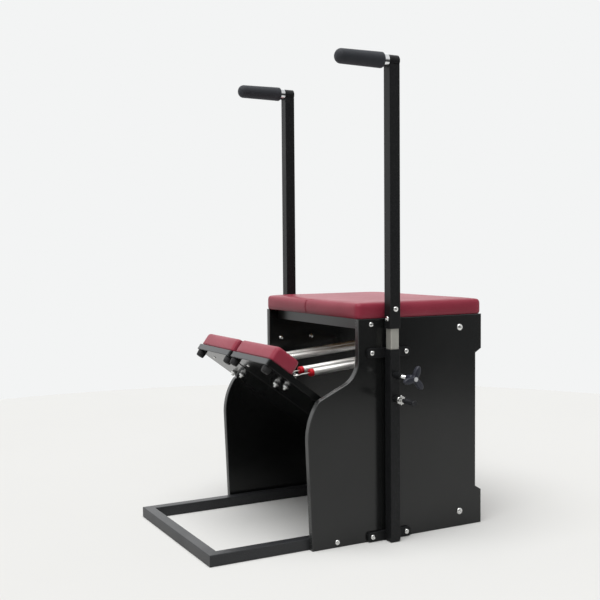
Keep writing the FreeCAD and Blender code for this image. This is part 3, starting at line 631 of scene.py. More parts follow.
class Coat:
    """The chair's finishes."""

    # Each lacquer paints a grey highlight on faces along its axes: the panels' edges, the pedal boards' ends,
    # the rails' tops and bottoms.
    PANEL = Lacquer("panel_lacquer", Slot.PANEL, tint(22, 23, 23), 0.2)
    # The pedal boards' ends take a pale grey painted highlight, the fifth value.
    PEDAL = Lacquer(
        "pedal_lacquer", Slot.PANEL, tint(22, 23, 23), 0.14, tint(91, 93, 95), painted_lit=(0, 1, 0), gloss=0.13)
    RAIL = Lacquer("rail_lacquer", Slot.PANEL, tint(36, 37, 37), 0.3, painted_lit=(0, 0, 1))
    BOARD = Timber("seat_plywood", Slot.TIMBER, tint(196, 158, 112), 0.6)
    VINYL = Vinyl("burgundy_vinyl", Slot.VINYL, tint(152, 52, 70), 0.42)
    SEAM = Vinyl("burgundy_seam", Slot.VINYL, tint(118, 32, 46), 0.46)
    POWDER = Powder("black_powder_coat", Slot.POWDER, tint(22, 23, 24), 0.42)
    BASE = Powder("base_powder_coat", Slot.POWDER, tint(42, 43, 45), 0.42, gloss=0.3)
    TUBE = Plated(
        "pole_tube_plate", Slot.CHROME, tint(186, 185, 177), 0.36, drawn=(1, 1, 0.04), smear=0.5, metal=0.5)
    CHROME = Plated("handle_chrome", Slot.CHROME, tint(226, 227, 228), 0.12)
    STEEL = Plated("bright_zinc", Slot.STEEL, tint(222, 222, 220), 0.22)
    SPRING = Plated("spring_nickel", Slot.STEEL, tint(242, 241, 238), 0.34, smear=0.2)
    AXLE = Plated("turned_steel", Slot.STEEL, tint(190, 190, 188), 0.28, drawn=(1.0, 0.05, 0.05))
    CAP = Moulded("red_cap", Slot.CAP, tint(204, 24, 40), 0.38, scuff=tint(212, 92, 92), scuffed=0.3)
    KNOB = Moulded("black_nylon", Slot.KNOB, tint(26, 27, 30), 0.4)
    NYLON = Moulded("clamp_nylon", Slot.KNOB, tint(42, 44, 53), 0.36)
    INSERT = Moulded("pale_insert", Slot.KNOB, tint(206, 208, 210), 0.3, scuff=tint(150, 150, 152))
    RUBBER = Moulded(
        "black_rubber", Slot.RUBBER, tint(20, 20, 21), 0.6, grain_scale=900.0, grain_depth=0.0003)
    FOAM = Foam("grip_foam", Slot.FOAM, tint(47, 49, 54), 0.7)


# Meshes

def skin(rows: Sequence[Sequence[Point]], loop: bool = False) -> bmesh.types.BMesh:
    """Joins rows of points to a closed shell.

    Args:
        rows: Closed rows of as many points each; a row of one point closes an end.
        loop: Whether the last row joins the first.

    Returns:
        The shell, with its faces outwards.
    """
    shell = bmesh.new()
    made = [[shell.verts.new(point) for point in row] for row in rows]
    pairs = list(zip(made, made[1:])) + ([(made[-1], made[0])] if loop else [])
    for low, high in pairs:
        count = max(len(low), len(high))
        for i in range(count):
            j = (i + 1) % count
            if len(low) == 1:
                shell.faces.new((low[0], high[j], high[i]))
            elif len(high) == 1:
                shell.faces.new((low[i], low[j], high[0]))
            else:
                shell.faces.new((low[i], low[j], high[j], high[i]))
    bmesh.ops.recalc_face_normals(shell, faces=shell.faces)
    return shell


def turned(rings: Sequence[Ring], steps: int = 36, loop: bool = False) -> bmesh.types.BMesh:
    """Turns a profile about +Z.

    Args:
        rings: Radius and height from end to end; a ring with flat sides also has their number, and half
            its width across flats as its radius.
        steps: Points round each ring.
        loop: Whether the last ring joins the first.

    Returns:
        The turned shell.
    """
    rows = []
    for radius, height, *sides in rings:
        if radius == 0:
            rows.append([(0.0, 0.0, height)])
            continue
        row = []
        for i in range(steps):
            angle = FULL_TURN * i / steps
            part = FULL_TURN / sides[0] if sides else 0.0
            reach = radius / math.cos(angle % part - part / 2) if sides else radius
            row.append((reach * math.cos(angle), reach * math.sin(angle), height))
        rows.append(row)
    return skin(rows, loop)


def sleeve(bore: float, outer: float, length: float, chamfer: float,
           steps: int = 40, foot: bool = True) -> bmesh.types.BMesh:
    """Turns a sleeve with chamfered ends, from the origin along +Z.

    Args:
        bore: Its inner radius.
        outer: Its outer radius.
        length: Its length.
        chamfer: The chamfers' width.
        steps: Points round it.
        foot: Whether its first end has a chamfer too.

    Returns:
        The sleeve.
    """
    start = [(outer - chamfer, 0), (outer, chamfer)] if foot else [(outer, 0)]
    end = [(outer, length - chamfer), (outer - chamfer, length), (bore, length)]
    return turned([(bore, 0), *start, *end], steps, True)


def block(low: Point, high: Point, bevel: float) -> bmesh.types.BMesh:
    """Makes a box with rounded edges.

    Args:
        low: Its lowest corner.
        high: Its highest corner.
        bevel: The edges' radius.

    Returns:
        The box.
    """
    size = [b - a for a, b in zip(low, high)]
    middle = Vector([(a + b) / 2 for a, b in zip(low, high)])
    made = bmesh.new()
    bmesh.ops.create_cube(made, size=1.0, matrix=Matrix.Translation(middle) @ Matrix.Diagonal((*size, 1.0)))
    bmesh.ops.bevel(made, geom=made.edges[:], offset=bevel, segments=3, profile=0.5, affect="EDGES")
    return made


def aim(place: Point, direction: Point) -> Matrix:
    """Gives the matrix that takes +Z at the origin to a direction at a place."""
    turn = Vector(direction).to_track_quat("Z", "Y")
    return Matrix.Translation(Vector(place)) @ turn.to_matrix().to_4x4()


def as_mesh(name: str, shapes: Iterable[bmesh.types.BMesh], crease: float = 35.0) -> bpy.types.Mesh:
    """Joins shells to one smooth mesh.

    Args:
        name: The mesh's name.
        shapes: The shells, which are used up.
        crease: Edges sharper than this, in degrees, stay sharp.

    Returns:
        The mesh.
    """
    mesh = bpy.data.meshes.new(name)
    whole = bmesh.new()
    for shape in shapes:
        shape.to_mesh(mesh)
        whole.from_mesh(mesh)
        shape.free()
    whole.to_mesh(mesh)
    whole.free()
    return smooth(mesh, crease)


def smooth(mesh: bpy.types.Mesh, crease: float = 35.0) -> bpy.types.Mesh:
    """Shades a mesh smooth, with sharp edges past an angle.

    Args:
        mesh: The mesh.
        crease: The angle in degrees.

    Returns:
        The same mesh.
    """
    mesh.polygons.foreach_set("use_smooth", [True] * len(mesh.polygons))
    mesh.set_sharp_from_angle(angle=math.radians(crease))
    return mesh


def link(name: str, mesh: bpy.types.Mesh) -> bpy.types.Object:
    """Puts a mesh in the scene as an object at the origin.

    Args:
        name: The object's name.
        mesh: The mesh.

    Returns:
        The object.
    """
    made = bpy.data.objects.new(name, mesh)
    bpy.context.scene.collection.objects.link(made)
    return made


def cover(made: bpy.types.Object, finish: Finish) -> None:
    """Gives an object a finish as its only material."""
    made.data.materials.clear()
    made.data.materials.append(finish.material())


def settle(made: bpy.types.Object, finish: Finish,
           body: str, nodes: Sequence[str] = ()) -> bpy.types.Object:
    """Gives a piece its finish and its body.

    Args:
        made: The piece.
        finish: Its finish.
        body: The body that it rides on.
        nodes: The nodes that it stands for.

    Returns:
        The piece.
    """
    cover(made, finish)
    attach(made, body)
    if nodes:
        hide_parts(*nodes)
    report(made)
    return made


def piece(name: str, shapes: Iterable[bmesh.types.BMesh], finish: Finish,
          body: str, nodes: Sequence[str] = (), crease: float = 35.0) -> bpy.types.Object:
    """Makes a piece of shells, with its finish and its body; the values are those of as_mesh and settle."""
    return settle(link(name, as_mesh(name, shapes, crease)), finish, body, nodes)


def report(made: bpy.types.Object) -> None:
    """Logs a piece and its faces."""
    log.info("%s: %d faces", made.name, len(made.data.polygons))


def dress(finish: Finish, *nodes: str) -> None:
    """Gives nodes that stay a finish.

    Args:
        finish: The finish.
        nodes: The nodes' names.
    """
    for name in nodes:
        cover(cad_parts[name], finish)
        log.info("%s keeps its solid in %s", name, finish.name)


def plain_copy(made: bpy.types.Object, name: str) -> bpy.types.Mesh:
    """Turns an object with live modifiers into a plain mesh.

    Args:
        made: The object.
        name: The mesh's name.

    Returns:
        The mesh.
    """
    graph = bpy.context.evaluated_depsgraph_get()
    graph.update()
    mesh = bpy.data.meshes.new_from_object(
        made.evaluated_get(graph), preserve_all_data_layers=True, depsgraph=graph)
    mesh.name = name
    return mesh


def discard(*made: bpy.types.Object) -> None:
    """Removes helper objects."""
    for item in made:
        bpy.data.objects.remove(item, do_unlink=True)


# Growth of what repeats or follows a path

class Growth(Net):
    """A geometry tree in the making, with named inputs for its sizes."""

    def __init__(self, name: str) -> None:
        """Starts a tree with geometry in and out.

        Args:
            name: The tree's name.
        """
        super().__init__(bpy.data.node_groups.new(name, "GeometryNodeTree"))
        self.inlet = self.tree.nodes.new("NodeGroupInput")
        self.keys: dict[str, str] = {}
        self.seed = self.size("Seed", "NodeSocketGeometry")
        self.finish = self.size("Finish", "NodeSocketMaterial")

    def size(self, name: str, kind: str = "NodeSocketFloat") -> Term:
        """Adds a named input.

        Args:
            name: The input's name.
            kind: Its socket type.

        Returns:
            The input as a term.
        """
        socket = self.tree.interface.new_socket(name, in_out="INPUT", socket_type=kind)
        self.keys[name] = socket.identifier
        return Term(self, self.plug(self.inlet.outputs, socket.identifier))

    def facing(self) -> Term:
        """Gives the turn that takes +Z to each point's facing.

        Returns:
            The rotation.
        """
        settings = {"data_type": "FLOAT_VECTOR"}
        way = self.term("GeometryNodeInputNamedAttribute", "Attribute", settings, {"Name": "facing"})
        return self.term("FunctionNodeAlignRotationToVector", 0, {"axis": "Z"}, {"Vector": way})

    def planted(self, points: Term, pattern: Term, turn: Term) -> Term:
        """Puts copies of a pattern on points, each with its rotation."""
        sockets = {"Points": points, "Instance": pattern, "Rotation": turn}
        return self.term("GeometryNodeInstanceOnPoints", 0, None, sockets)

    def tube(self, curve: Term, radius: Term, sides: Term) -> Term:
        """Sweeps a round section along a curve.

        Args:
            curve: The curve.
            radius: The section's radius.
            sides: Points round it.

        Returns:
            The tube.
        """
        sockets = {"Resolution": sides, "Radius": radius}
        section = self.term("GeometryNodeCurvePrimitiveCircle", 0, None, sockets)
        sockets = {"Curve": curve, "Profile Curve": section, "Fill Caps": True}
        return self.term("GeometryNodeCurveToMesh", 0, None, sockets)

    def close(self, shape: Term) -> "Growth":
        """Ends the tree with real geometry in the finish.

        Args:
            shape: What has grown.

        Returns:
            The tree's builder.
        """
        real = self.term("GeometryNodeRealizeInstances", 0, None, {"Geometry": shape})
        sockets = {"Geometry": real, "Material": self.finish}
        painted = self.term("GeometryNodeSetMaterial", 0, None, sockets)
        self.tree.interface.new_socket("Grown", in_out="OUTPUT", socket_type="NodeSocketGeometry")
        self.node("NodeGroupOutput", None, {0: painted})
        return self

    def grow(self, name: str, seed: bpy.types.Mesh, finish: Finish, **sizes: Any) -> bpy.types.Object:
        """Grows one piece as a plain mesh.

        Args:
            name: The piece's name.
            seed: Points or runs to grow on.
            finish: The finish.
            sizes: Values of the named inputs, with underscores for spaces.

        Returns:
            The piece.
        """
        holder = link(name + "_seed", seed)
        modifier = holder.modifiers.new("growth", "NODES")
        modifier.node_group = self.tree
        modifier[self.keys["Finish"]] = finish.material()
        for key, value in sizes.items():
            modifier[self.keys[key.replace("_", " ")]] = value
        mesh = plain_copy(holder, name)
        holder.modifiers.clear()
        discard(holder)
        return link(name, smooth(mesh))


def planting() -> Growth:
    """Gives the tree that puts a pattern on points along their facing.

    Returns:
        The tree's builder.
    """
    tree = Growth("planting")
    pattern = tree.size("Pattern", "NodeSocketObject")
    settings = {"transform_space": "ORIGINAL"}
    shape = tree.term("GeometryNodeObjectInfo", "Geometry", settings, {"Object": pattern})
    return tree.close(tree.planted(tree.seed, shape, tree.facing()))


def winding() -> Growth:
    """Gives the tree that winds a coil from each point along its facing.

    Returns:
        The tree's builder.
    """
    tree = Growth("winding")
    whole = "NodeSocketInt"
    radius = tree.size("Coil Radius")
    sockets = {
        "Resolution": tree.size("Steps", whole), "Rotations": tree.size("Turns"), "Start Radius": radius,
        "End Radius": radius, "Height": tree.size("Length"),
    }
    helix = tree.term("GeometryNodeCurveSpiral", 0, None, sockets)
    wound = tree.tube(helix, tree.size("Wire Radius"), tree.size("Sides", whole))
    return tree.close(tree.planted(tree.seed, wound, tree.facing()))


def wiring() -> Growth:
    """Gives the tree that turns runs of edges into round wire.

    Returns:
        The tree's builder.
    """
    tree = Growth("wiring")
    runs = tree.term("GeometryNodeMeshToCurve", 0, None, {"Mesh": tree.seed})
    return tree.close(tree.tube(runs, tree.size("Wire Radius"), tree.size("Sides", "NodeSocketInt")))


def threading() -> Growth:
    """Gives the tree that cuts a screw thread on a rod at each point.

    Returns:
        The tree's builder.
    """
    tree = Growth("threading")
    radius, length = tree.size("Radius"), tree.size("Length")
    pitch, depth = tree.size("Pitch"), tree.size("Depth")
    sides, slices_a_turn, turns_ahead = 24, 6.0, 100.0
    slices = tree.math("ROUND", length / pitch * slices_a_turn)
    sockets = {"Vertices": sides, "Side Segments": slices, "Radius": radius, "Depth": length}
    rod = tree.term("GeometryNodeMeshCylinder", "Mesh", {"fill_type": "TRIANGLE_FAN"}, sockets)
    x, y, z = tree.parts(tree.term("GeometryNodeInputPosition", 0))
    climb = tree.math("FRACT", z / pitch - tree.math("ARCTAN2", y, x) / FULL_TURN + turns_ahead)
    share = 1 - abs(climb * 2 - 1) * depth / radius
    cut = tree.term("ShaderNodeCombineXYZ", 0, None, {0: x * share, 1: y * share, 2: z})
    shaped = tree.term("GeometryNodeSetPosition", 0, None, {"Geometry": rod, "Position": cut})
    return tree.close(tree.planted(tree.seed, shaped, tree.facing()))


def stitching() -> Growth:
    """Gives the tree that sews stitches along runs of edges.

    Returns:
        The tree's builder.
    """
    tree = Growth("stitching")
    runs = tree.term("GeometryNodeMeshToCurve", 0, None, {"Mesh": tree.seed})
    sockets = {"Curve": runs, "Length": tree.size("Pitch")}
    places = tree.node("GeometryNodeCurveToPoints", {"mode": "LENGTH"}, sockets)
    thread = tree.size("Thread Radius")
    bead = tree.term("GeometryNodeMeshUVSphere", 0, None, {"Segments": 6, "Rings": 5, "Radius": thread})
    size = tree.term("ShaderNodeCombineXYZ", 0, None, {0: tree.size("Slimness"), 1: 1.0, 2: 1.0})
    drawn = tree.term("GeometryNodeTransform", 0, None, {"Geometry": bead, "Scale": size})
    points, tangent = (Term(tree, tree.plug(places.outputs, key)) for key in ("Points", "Tangent"))
    turn = tree.term("FunctionNodeAlignRotationToVector", 0, {"axis": "X"}, {"Vector": tangent})
    return tree.close(tree.planted(points, drawn, turn))


def spots_mesh(spots: Sequence[Spot]) -> bpy.types.Mesh:
    """Makes a mesh of points that face somewhere.

    Args:
        spots: Places and directions.

    Returns:
        The mesh, with the directions as its "facing".
    """
    mesh = bpy.data.meshes.new("spots")
    mesh.from_pydata([tuple(place) for place, _ in spots], [], [])
    facing = mesh.attributes.new("facing", "FLOAT_VECTOR", "POINT")
    facing.data.foreach_set("vector", [value for _, way in spots for value in way])
    return mesh


def runs_mesh(runs: Sequence[Sequence[Point]]) -> bpy.types.Mesh:
    """Makes a mesh of open runs of edges.

    Args:
        runs: The points of each run.

    Returns:
        The mesh.
    """
    places: list[Point] = []
    edges: list[tuple[int, int]] = []
    for run in runs:
        first = len(places)
        places.extend(tuple(point) for point in run)
        edges.extend((i, i + 1) for i in range(first, first + len(run) - 1))
    mesh = bpy.data.meshes.new("runs")
    mesh.from_pydata(places, edges, [])
    return mesh


class Bench:
    """The trees, each built once."""

    def __init__(self) -> None:
        """Builds every tree."""
        self.planting = planting()
        self.winding = winding()
        self.wiring = wiring()
        self.threading = threading()
        self.stitching = stitching()

    def plant(self, name: str, shape: bmesh.types.BMesh, spots: Sequence[Spot],
              finish: Finish, body: str, nodes: Sequence[str] = ()) -> bpy.types.Object:
        """Repeats a shell on spots as one piece.

        Args:
            name: The piece's name.
            shape: The shell, with +Z outwards.
            spots: Places and directions.
            finish: The finish.
            body: The body that it rides on.
            nodes: The nodes that it stands for.

        Returns:
            The piece.
        """
        pattern = link(name + "_pattern", as_mesh(name + "_pattern", [shape]))
        made = self.planting.grow(name, spots_mesh(spots), finish, Pattern=pattern)
        discard(pattern)
        return settle(made, finish, body, nodes)


# Fasteners

@dataclass(frozen=True)
class DomeBolt:
    """A dome-headed bolt with a hexagon socket; +Z leaves the face that it clamps."""

    radius: float
    height: float
    socket: float
    depth: float

    def head(self) -> bmesh.types.BMesh:
        """Turns the head.

        Returns:
            The head's shell.
        """
        r, h, side_share = self.radius, self.height, 0.28
        dome_share = 1 - side_share
        angles = (0.0, 0.25, 0.5, 0.75, 1.0)
        dome = [(r * math.cos(a), h * (side_share + dome_share * math.sin(a))) for a in angles]
        rim = self.socket * 1.2
        top = h * (side_share + dome_share * math.sqrt(1 - (rim / r) ** 2))
        floor = top - self.depth
        recess = [(rim, top), (self.socket, top - BREAK / 2, 6), (self.socket, floor, 6), (0, floor)]
        return turned([(0, 0), (r * 0.97, 0), (r, h * 0.08), *dome, *recess])


@dataclass(frozen=True)
class HexNut:
    """A chamfered hexagon nut with its bore; +Z leaves the face that it sits on."""

    across: float
    height: float
    bore: float

    def shell(self) -> bmesh.types.BMesh:
        """Turns the nut.

        Returns:
            The nut's shell.
        """
        flat, corner = self.across / 2, self.across / math.sqrt(3)
        cut, rim, h = (corner - flat) * 0.6, flat * 0.98, self.height
        outside = [(self.bore, 0), (rim, 0), (flat, cut, 6), (flat, h - cut, 6), (rim, h)]
        return turned([*outside, (self.bore + BREAK, h), (self.bore, h - BREAK)], loop=True)


@dataclass(frozen=True)
class CapNut:
    """A domed cap nut; +Z leaves the face that it sits on."""

    across: float
    height: float

    def shell(self) -> bmesh.types.BMesh:
        """Turns the nut.

        Returns:
            The nut's shell.
        """
        flat, half = self.across / 2, self.height / 2
        dome, step = flat * 0.92, 0.0008
        cap = [(dome * math.cos(a), half + half * math.sin(a)) for a in (0.0, 0.35, 0.7, 1.0, 1.3)]
        foot = [(0, 0), (flat * 0.97, 0), (flat, BREAK, 6), (flat, half - step, 6)]
        return turned([*foot, *cap, (0, self.height)])


@dataclass
class Fasteners:
    """Every bolt, nut and screw that the frame carries."""

    bench: Bench
    panel_x: float = 0.275
    strap_x: float = 0.283
    inner_x: float = 0.257
    strap_spots: tuple = ((0.045, 0.509), (0.153, 0.509), (0.045, 0.014), (0.153, 0.014))
    board_spots: tuple = ((-0.061, 0.014), (0.0465, 0.585))
    rear_spots: tuple = ((0.3385, 0.565), (0.3385, 0.043))
    panel_bolt: DomeBolt = DomeBolt(0.007, 0.0045, 0.0025, 0.0018)
    rear_bolt: DomeBolt = DomeBolt(0.0095, 0.006, 0.003, 0.0024)
    cap_nut: CapNut = CapNut(0.013, 0.010)
    pin_nut: HexNut = HexNut(0.023, 0.010, 0.0046)
    pin_place: tuple = (0.331, 0.099, 0.387)

    def spots(self, x: float, places: Sequence[Point], way: int = 1) -> list[Spot]:
        """Gives the spots of places, in Y and Z, on both sides; way is -1 to face inwards."""
        return [((s.value * x, y, z), (s.value * way, 0, 0)) for s in Side for y, z in places]

    def build(self) -> None:
        """Builds the bolts and nuts of the frame."""
        bolts = self.spots(self.strap_x, self.strap_spots) + self.spots(self.panel_x, self.board_spots)
        rear = self.spots(self.panel_x, self.rear_spots)
        inner = self.spots(self.inner_x, self.strap_spots[:2], -1)
        x, *pin = self.pin_place
        for name, shape, spots, node in (
            ("panel_bolt_heads", self.panel_bolt.head(), bolts, "panel_bolts"),
            ("rear_bolt_heads", self.rear_bolt.head(), rear, "rear_bolts"),
            ("strap_cap_nuts", self.cap_nut.shell(), inner, "cap_nuts"),
            ("pin_lock_nuts", self.pin_nut.shell(), self.spots(x, [pin]), "pin_nuts"),
        ):
            self.bench.plant(name, shape, spots, Coat.STEEL, "frame", [node])


# Sub-assemblies

@dataclass
class Carcase:
    """The panels, cross rails, floor frame, sockets, axle and spring trees."""

    bench: Bench
    axle: tuple = (0.3385, 0.043)
    spacer_radius: float = 0.0125
    spacer_bore: float = 0.0101
    spacer_ends: tuple = ((-0.0367, 0.0367), (0.2083, 0.257), (-0.257, -0.2083))
    post_x: float = 0.141
    post_low: tuple = (-0.010, 0.3195, 0.422)
    post_high: tuple = (0.010, 0.3295, 0.592)
    pin_y: float = 0.3245
    pin_heights: tuple = (0.492, 0.442)
    pin_radius: float = 0.004
    pin_reach: float = 0.042
    flange_radius: float = 0.0068
    flange_width: float = 0.003
    screw: DomeBolt = DomeBolt(0.005, 0.003, 0.0016, 0.0012)
    screw_heights: tuple = (0.548, 0.580)
    boss_start: tuple = (0.313, 0.099)
    bosses: tuple = ((0.450, 0.0312, 0.0055), (0.387, 0.018, 0.0045))
    boss_radius: float = 0.0092
    chamfer: float = 0.001
    post_round: float = 0.0015

    def build(self) -> None:
        """Dresses the kept solids and builds the small turned pieces."""
        dress(Coat.PANEL, "side_panel_left", "side_panel_right")
        dress(Coat.RAIL, "front_rail", "rear_rail")
        dress(Coat.BASE, "base_front_bar", "base_rail_left", "base_rail_right")
        dress(Coat.POWDER, "socket_left", "socket_right")
        dress(Coat.KNOB, "rail_plugs")
        dress(Coat.AXLE, "pedal_axle")
        self.spacers()
        self.trees()
        self.boss_sleeves()

    def spacers(self) -> None:
        """Turns the spacers on the pedal axle."""
        shells = []
        for low, high in self.spacer_ends:
            shell = sleeve(self.spacer_bore, self.spacer_radius, high - low, self.chamfer)
            shell.transform(aim((low, *self.axle), (1, 0, 0)))
            shells.append(shell)
        piece("axle_bushes", shells, Coat.KNOB, "frame", ["axle_spacers"])

    def boss_sleeves(self) -> None:
        """Turns the round bosses that the clamp studs and the pull pins go through."""
        shells = []
        x, y = self.boss_start
        for side in Side:
            for z, length, bore in self.bosses:
                shell = sleeve(bore, self.boss_radius, length, self.chamfer, foot=False)
                shell.transform(aim((side.value * x, y, z), (side.value, 0, 0)))
                shells.append(shell)
        piece("boss_sleeves", shells, Coat.POWDER, "frame")

    def trees(self) -> None:
        """Builds the two posts with their spring pins, and the screws that hold them."""
        shells, screws = [], []
        for side in Side:
            x, y = side.value * self.post_x, self.post_low[1]
            post = block(self.post_low, self.post_high, self.post_round)
            post.transform(Matrix.Translation((x, 0, 0)))
            shells.append(post)
            shells += [self.pin(Vector((x, self.pin_y, z))) for z in self.pin_heights]
            screws += [((x, y, z), (0, -1, 0)) for z in self.screw_heights]
        piece("spring_posts", shells, Coat.POWDER, "frame", ["spring_trees"])
        self.bench.plant("post_screws", self.screw.head(), screws, Coat.STEEL, "frame")

    def pin(self, place: Vector) -> bmesh.types.BMesh:
        """Turns one cross pin with a flange near each end.

        Args:
            place: The pin's middle.

        Returns:
            The pin's shell.
        """
        r, f, reach = self.pin_radius, self.flange_radius, self.pin_reach
        inner = reach - self.flange_width
        half = [(r, inner), (f - BREAK, inner), (f, inner + BREAK), (f, reach - BREAK), (f - BREAK, reach)]
        half.append((0, reach))
        shell = turned([(radius, -height) for radius, height in reversed(half)] + half, 28)
        shell.transform(aim(place, (1, 0, 0)))
        return shell


@dataclass
class Upholstery:
    """Padded vinyl: cloth that swells round a soft foam core, flat where it rests."""

    voxel: float = 0.006
    pressure: float = 4.0
    frames: int = 20
    cap: float = 0.005
    inset: float = 0.004
    stiffness: float = 12.0
    core: float = 0.3
    hold: float = 0.02
    foot: float = 0.0015
    quality: int = 6
    mass: float = 0.3
    bending: float = 1.5
    corner_share: float = 0.4
    rest_share: float = 0.6

    def plan(self, low: Point, high: Point, corner: float, draw: float, z: float) -> list[Point]:
        """Draws a round-cornered outline.

        Args:
            low: The lowest corner.
            high: The highest corner.
            corner: The corners' radius.
            draw: How far the outline is drawn in.
            z: Its height.

        Returns:
            The outline's points.
        """
        points, steps = [], 8
        radius = max(corner - draw, corner * self.corner_share)
        ends = [(high[0], high[1]), (low[0], high[1]), (low[0], low[1]), (high[0], low[1])]
        middle = [(a + b) / 2 for a, b in zip(low, high)]
        for quarter, (x, y) in enumerate(ends):
            cx = x + math.copysign(radius + draw, middle[0] - x)
            cy = y + math.copysign(radius + draw, middle[1] - y)
            for i in range(steps + 1):
                angle = FULL_TURN * (0.25 * quarter + 0.25 * i / steps)
                points.append((cx + radius * math.cos(angle), cy + radius * math.sin(angle), z))
        return points

    def start(self, low: Point, high: Point, corner: float, edge: float) -> bmesh.types.BMesh:
        """Makes the slightly small block that swells.

        Args:
            low: The lowest corner of the full pad.
            high: The highest corner.
            corner: The corners' radius in plan.
            edge: The top edges' radius.

        Returns:
            The block.
        """
        top, steps = high[2] - self.inset, 6
        x, y = (low[0] + high[0]) / 2, (low[1] + high[1]) / 2
        rows: list[list[Point]] = [[(x, y, low[2])]]
        rows.append(self.plan(low, high, corner, self.inset + self.foot, low[2]))
        rows.append(self.plan(low, high, corner, self.inset, low[2] + self.foot))
        for i in range(steps + 1):
            angle = QUARTER * i / steps
            draw = self.inset + edge * (1 - math.cos(angle))
            rows.append(self.plan(low, high, corner, draw, top - edge + edge * math.sin(angle)))
        rows.append([(x, y, top)])
        return skin(rows)

    def swell(self, name: str, low: Point, high: Point, corner: float, edge: float) -> bpy.types.Mesh:
        """Swells a block as cloth, with its bottom held fast and its core softly.

        Args:
            name: The mesh's name.
            low: The lowest corner of the full pad.
            high: The highest corner.
            corner: The corners' radius in plan.
            edge: The top edges' radius.

        Returns:
            The padded mesh, subdivided once.
        """
        shape = self.start(low, high, corner, edge)
        holder = link(name + "_start", as_mesh(name + "_start", [shape]))
        remesh = holder.modifiers.new("voxels", "REMESH")
        remesh.mode, remesh.voxel_size, remesh.use_smooth_shade = "VOXEL", self.voxel, True
        evened = link(name + "_even", plain_copy(holder, name + "_even"))
        discard(holder)
        self.simulate(evened, low[2])
        finer = evened.modifiers.new("finer", "SUBSURF")
        finer.levels = finer.render_levels = 1
        mesh = plain_copy(evened, name)
        discard(evened)
        return smooth(self.filled(mesh, low, high), 180.0)

    def filled(self, mesh: bpy.types.Mesh, low: Point, high: Point) -> bpy.types.Mesh:
        """Stretches a padded mesh to the full pad's box.

        Args:
            mesh: The mesh.
            low: The lowest corner of the full pad.
            high: The highest corner.

        Returns:
            The same mesh.
        """
        places = [vertex.co for vertex in mesh.vertices]
        least = Vector([min(place[i] for place in places) for i in range(3)])
        most = Vector([max(place[i] for place in places) for i in range(3)])
        scale = [(high[i] - low[i]) / (most[i] - least[i]) for i in range(3)]
        stretch = Matrix.Diagonal((*scale, 1.0))
        mesh.transform(Matrix.Translation(Vector(low)) @ stretch @ Matrix.Translation(-least))
        return mesh

    def simulate(self, evened: bpy.types.Object, floor: float) -> None:
        """Runs the cloth and keeps the capped result in the mesh.

        Args:
            evened: The remeshed block.
            floor: The height of its resting face.
        """
        before = [vertex.co.copy() for vertex in evened.data.vertices]
        held = evened.vertex_groups.new(name="held")
        resting = floor + self.voxel * self.rest_share
        for i, place in enumerate(before):
            held.add([i], 1.0 if place.z < resting else self.core, "REPLACE")
        cloth = evened.modifiers.new("cloth", "CLOTH")
        settings = cloth.settings
        settings.quality, settings.mass = self.quality, self.mass
        settings.tension_stiffness = settings.compression_stiffness = self.stiffness
        settings.shear_stiffness, settings.bending_stiffness = self.stiffness / 2, self.bending
        settings.use_pressure, settings.uniform_pressure_force = True, self.pressure
        settings.vertex_group_mass, settings.pin_stiffness = held.name, self.hold
        settings.effector_weights.gravity = 0.0
        cloth.point_cache.frame_start, cloth.point_cache.frame_end = 1, self.frames
        scene = bpy.context.scene
        for step in range(1, self.frames + 1):
            scene.frame_set(step)
        swollen = plain_copy(evened, evened.name + "_swollen")
        after = [vertex.co.copy() for vertex in swollen.vertices]
        bpy.data.meshes.remove(swollen)
        evened.modifiers.remove(cloth)
        scene.frame_set(1)
        for vertex, old, new in zip(evened.data.vertices, before, after):
            move = new - old
            if move.length > self.cap:
                move.length = self.cap
            vertex.co = old + move
            vertex.co.z = max(vertex.co.z, floor)


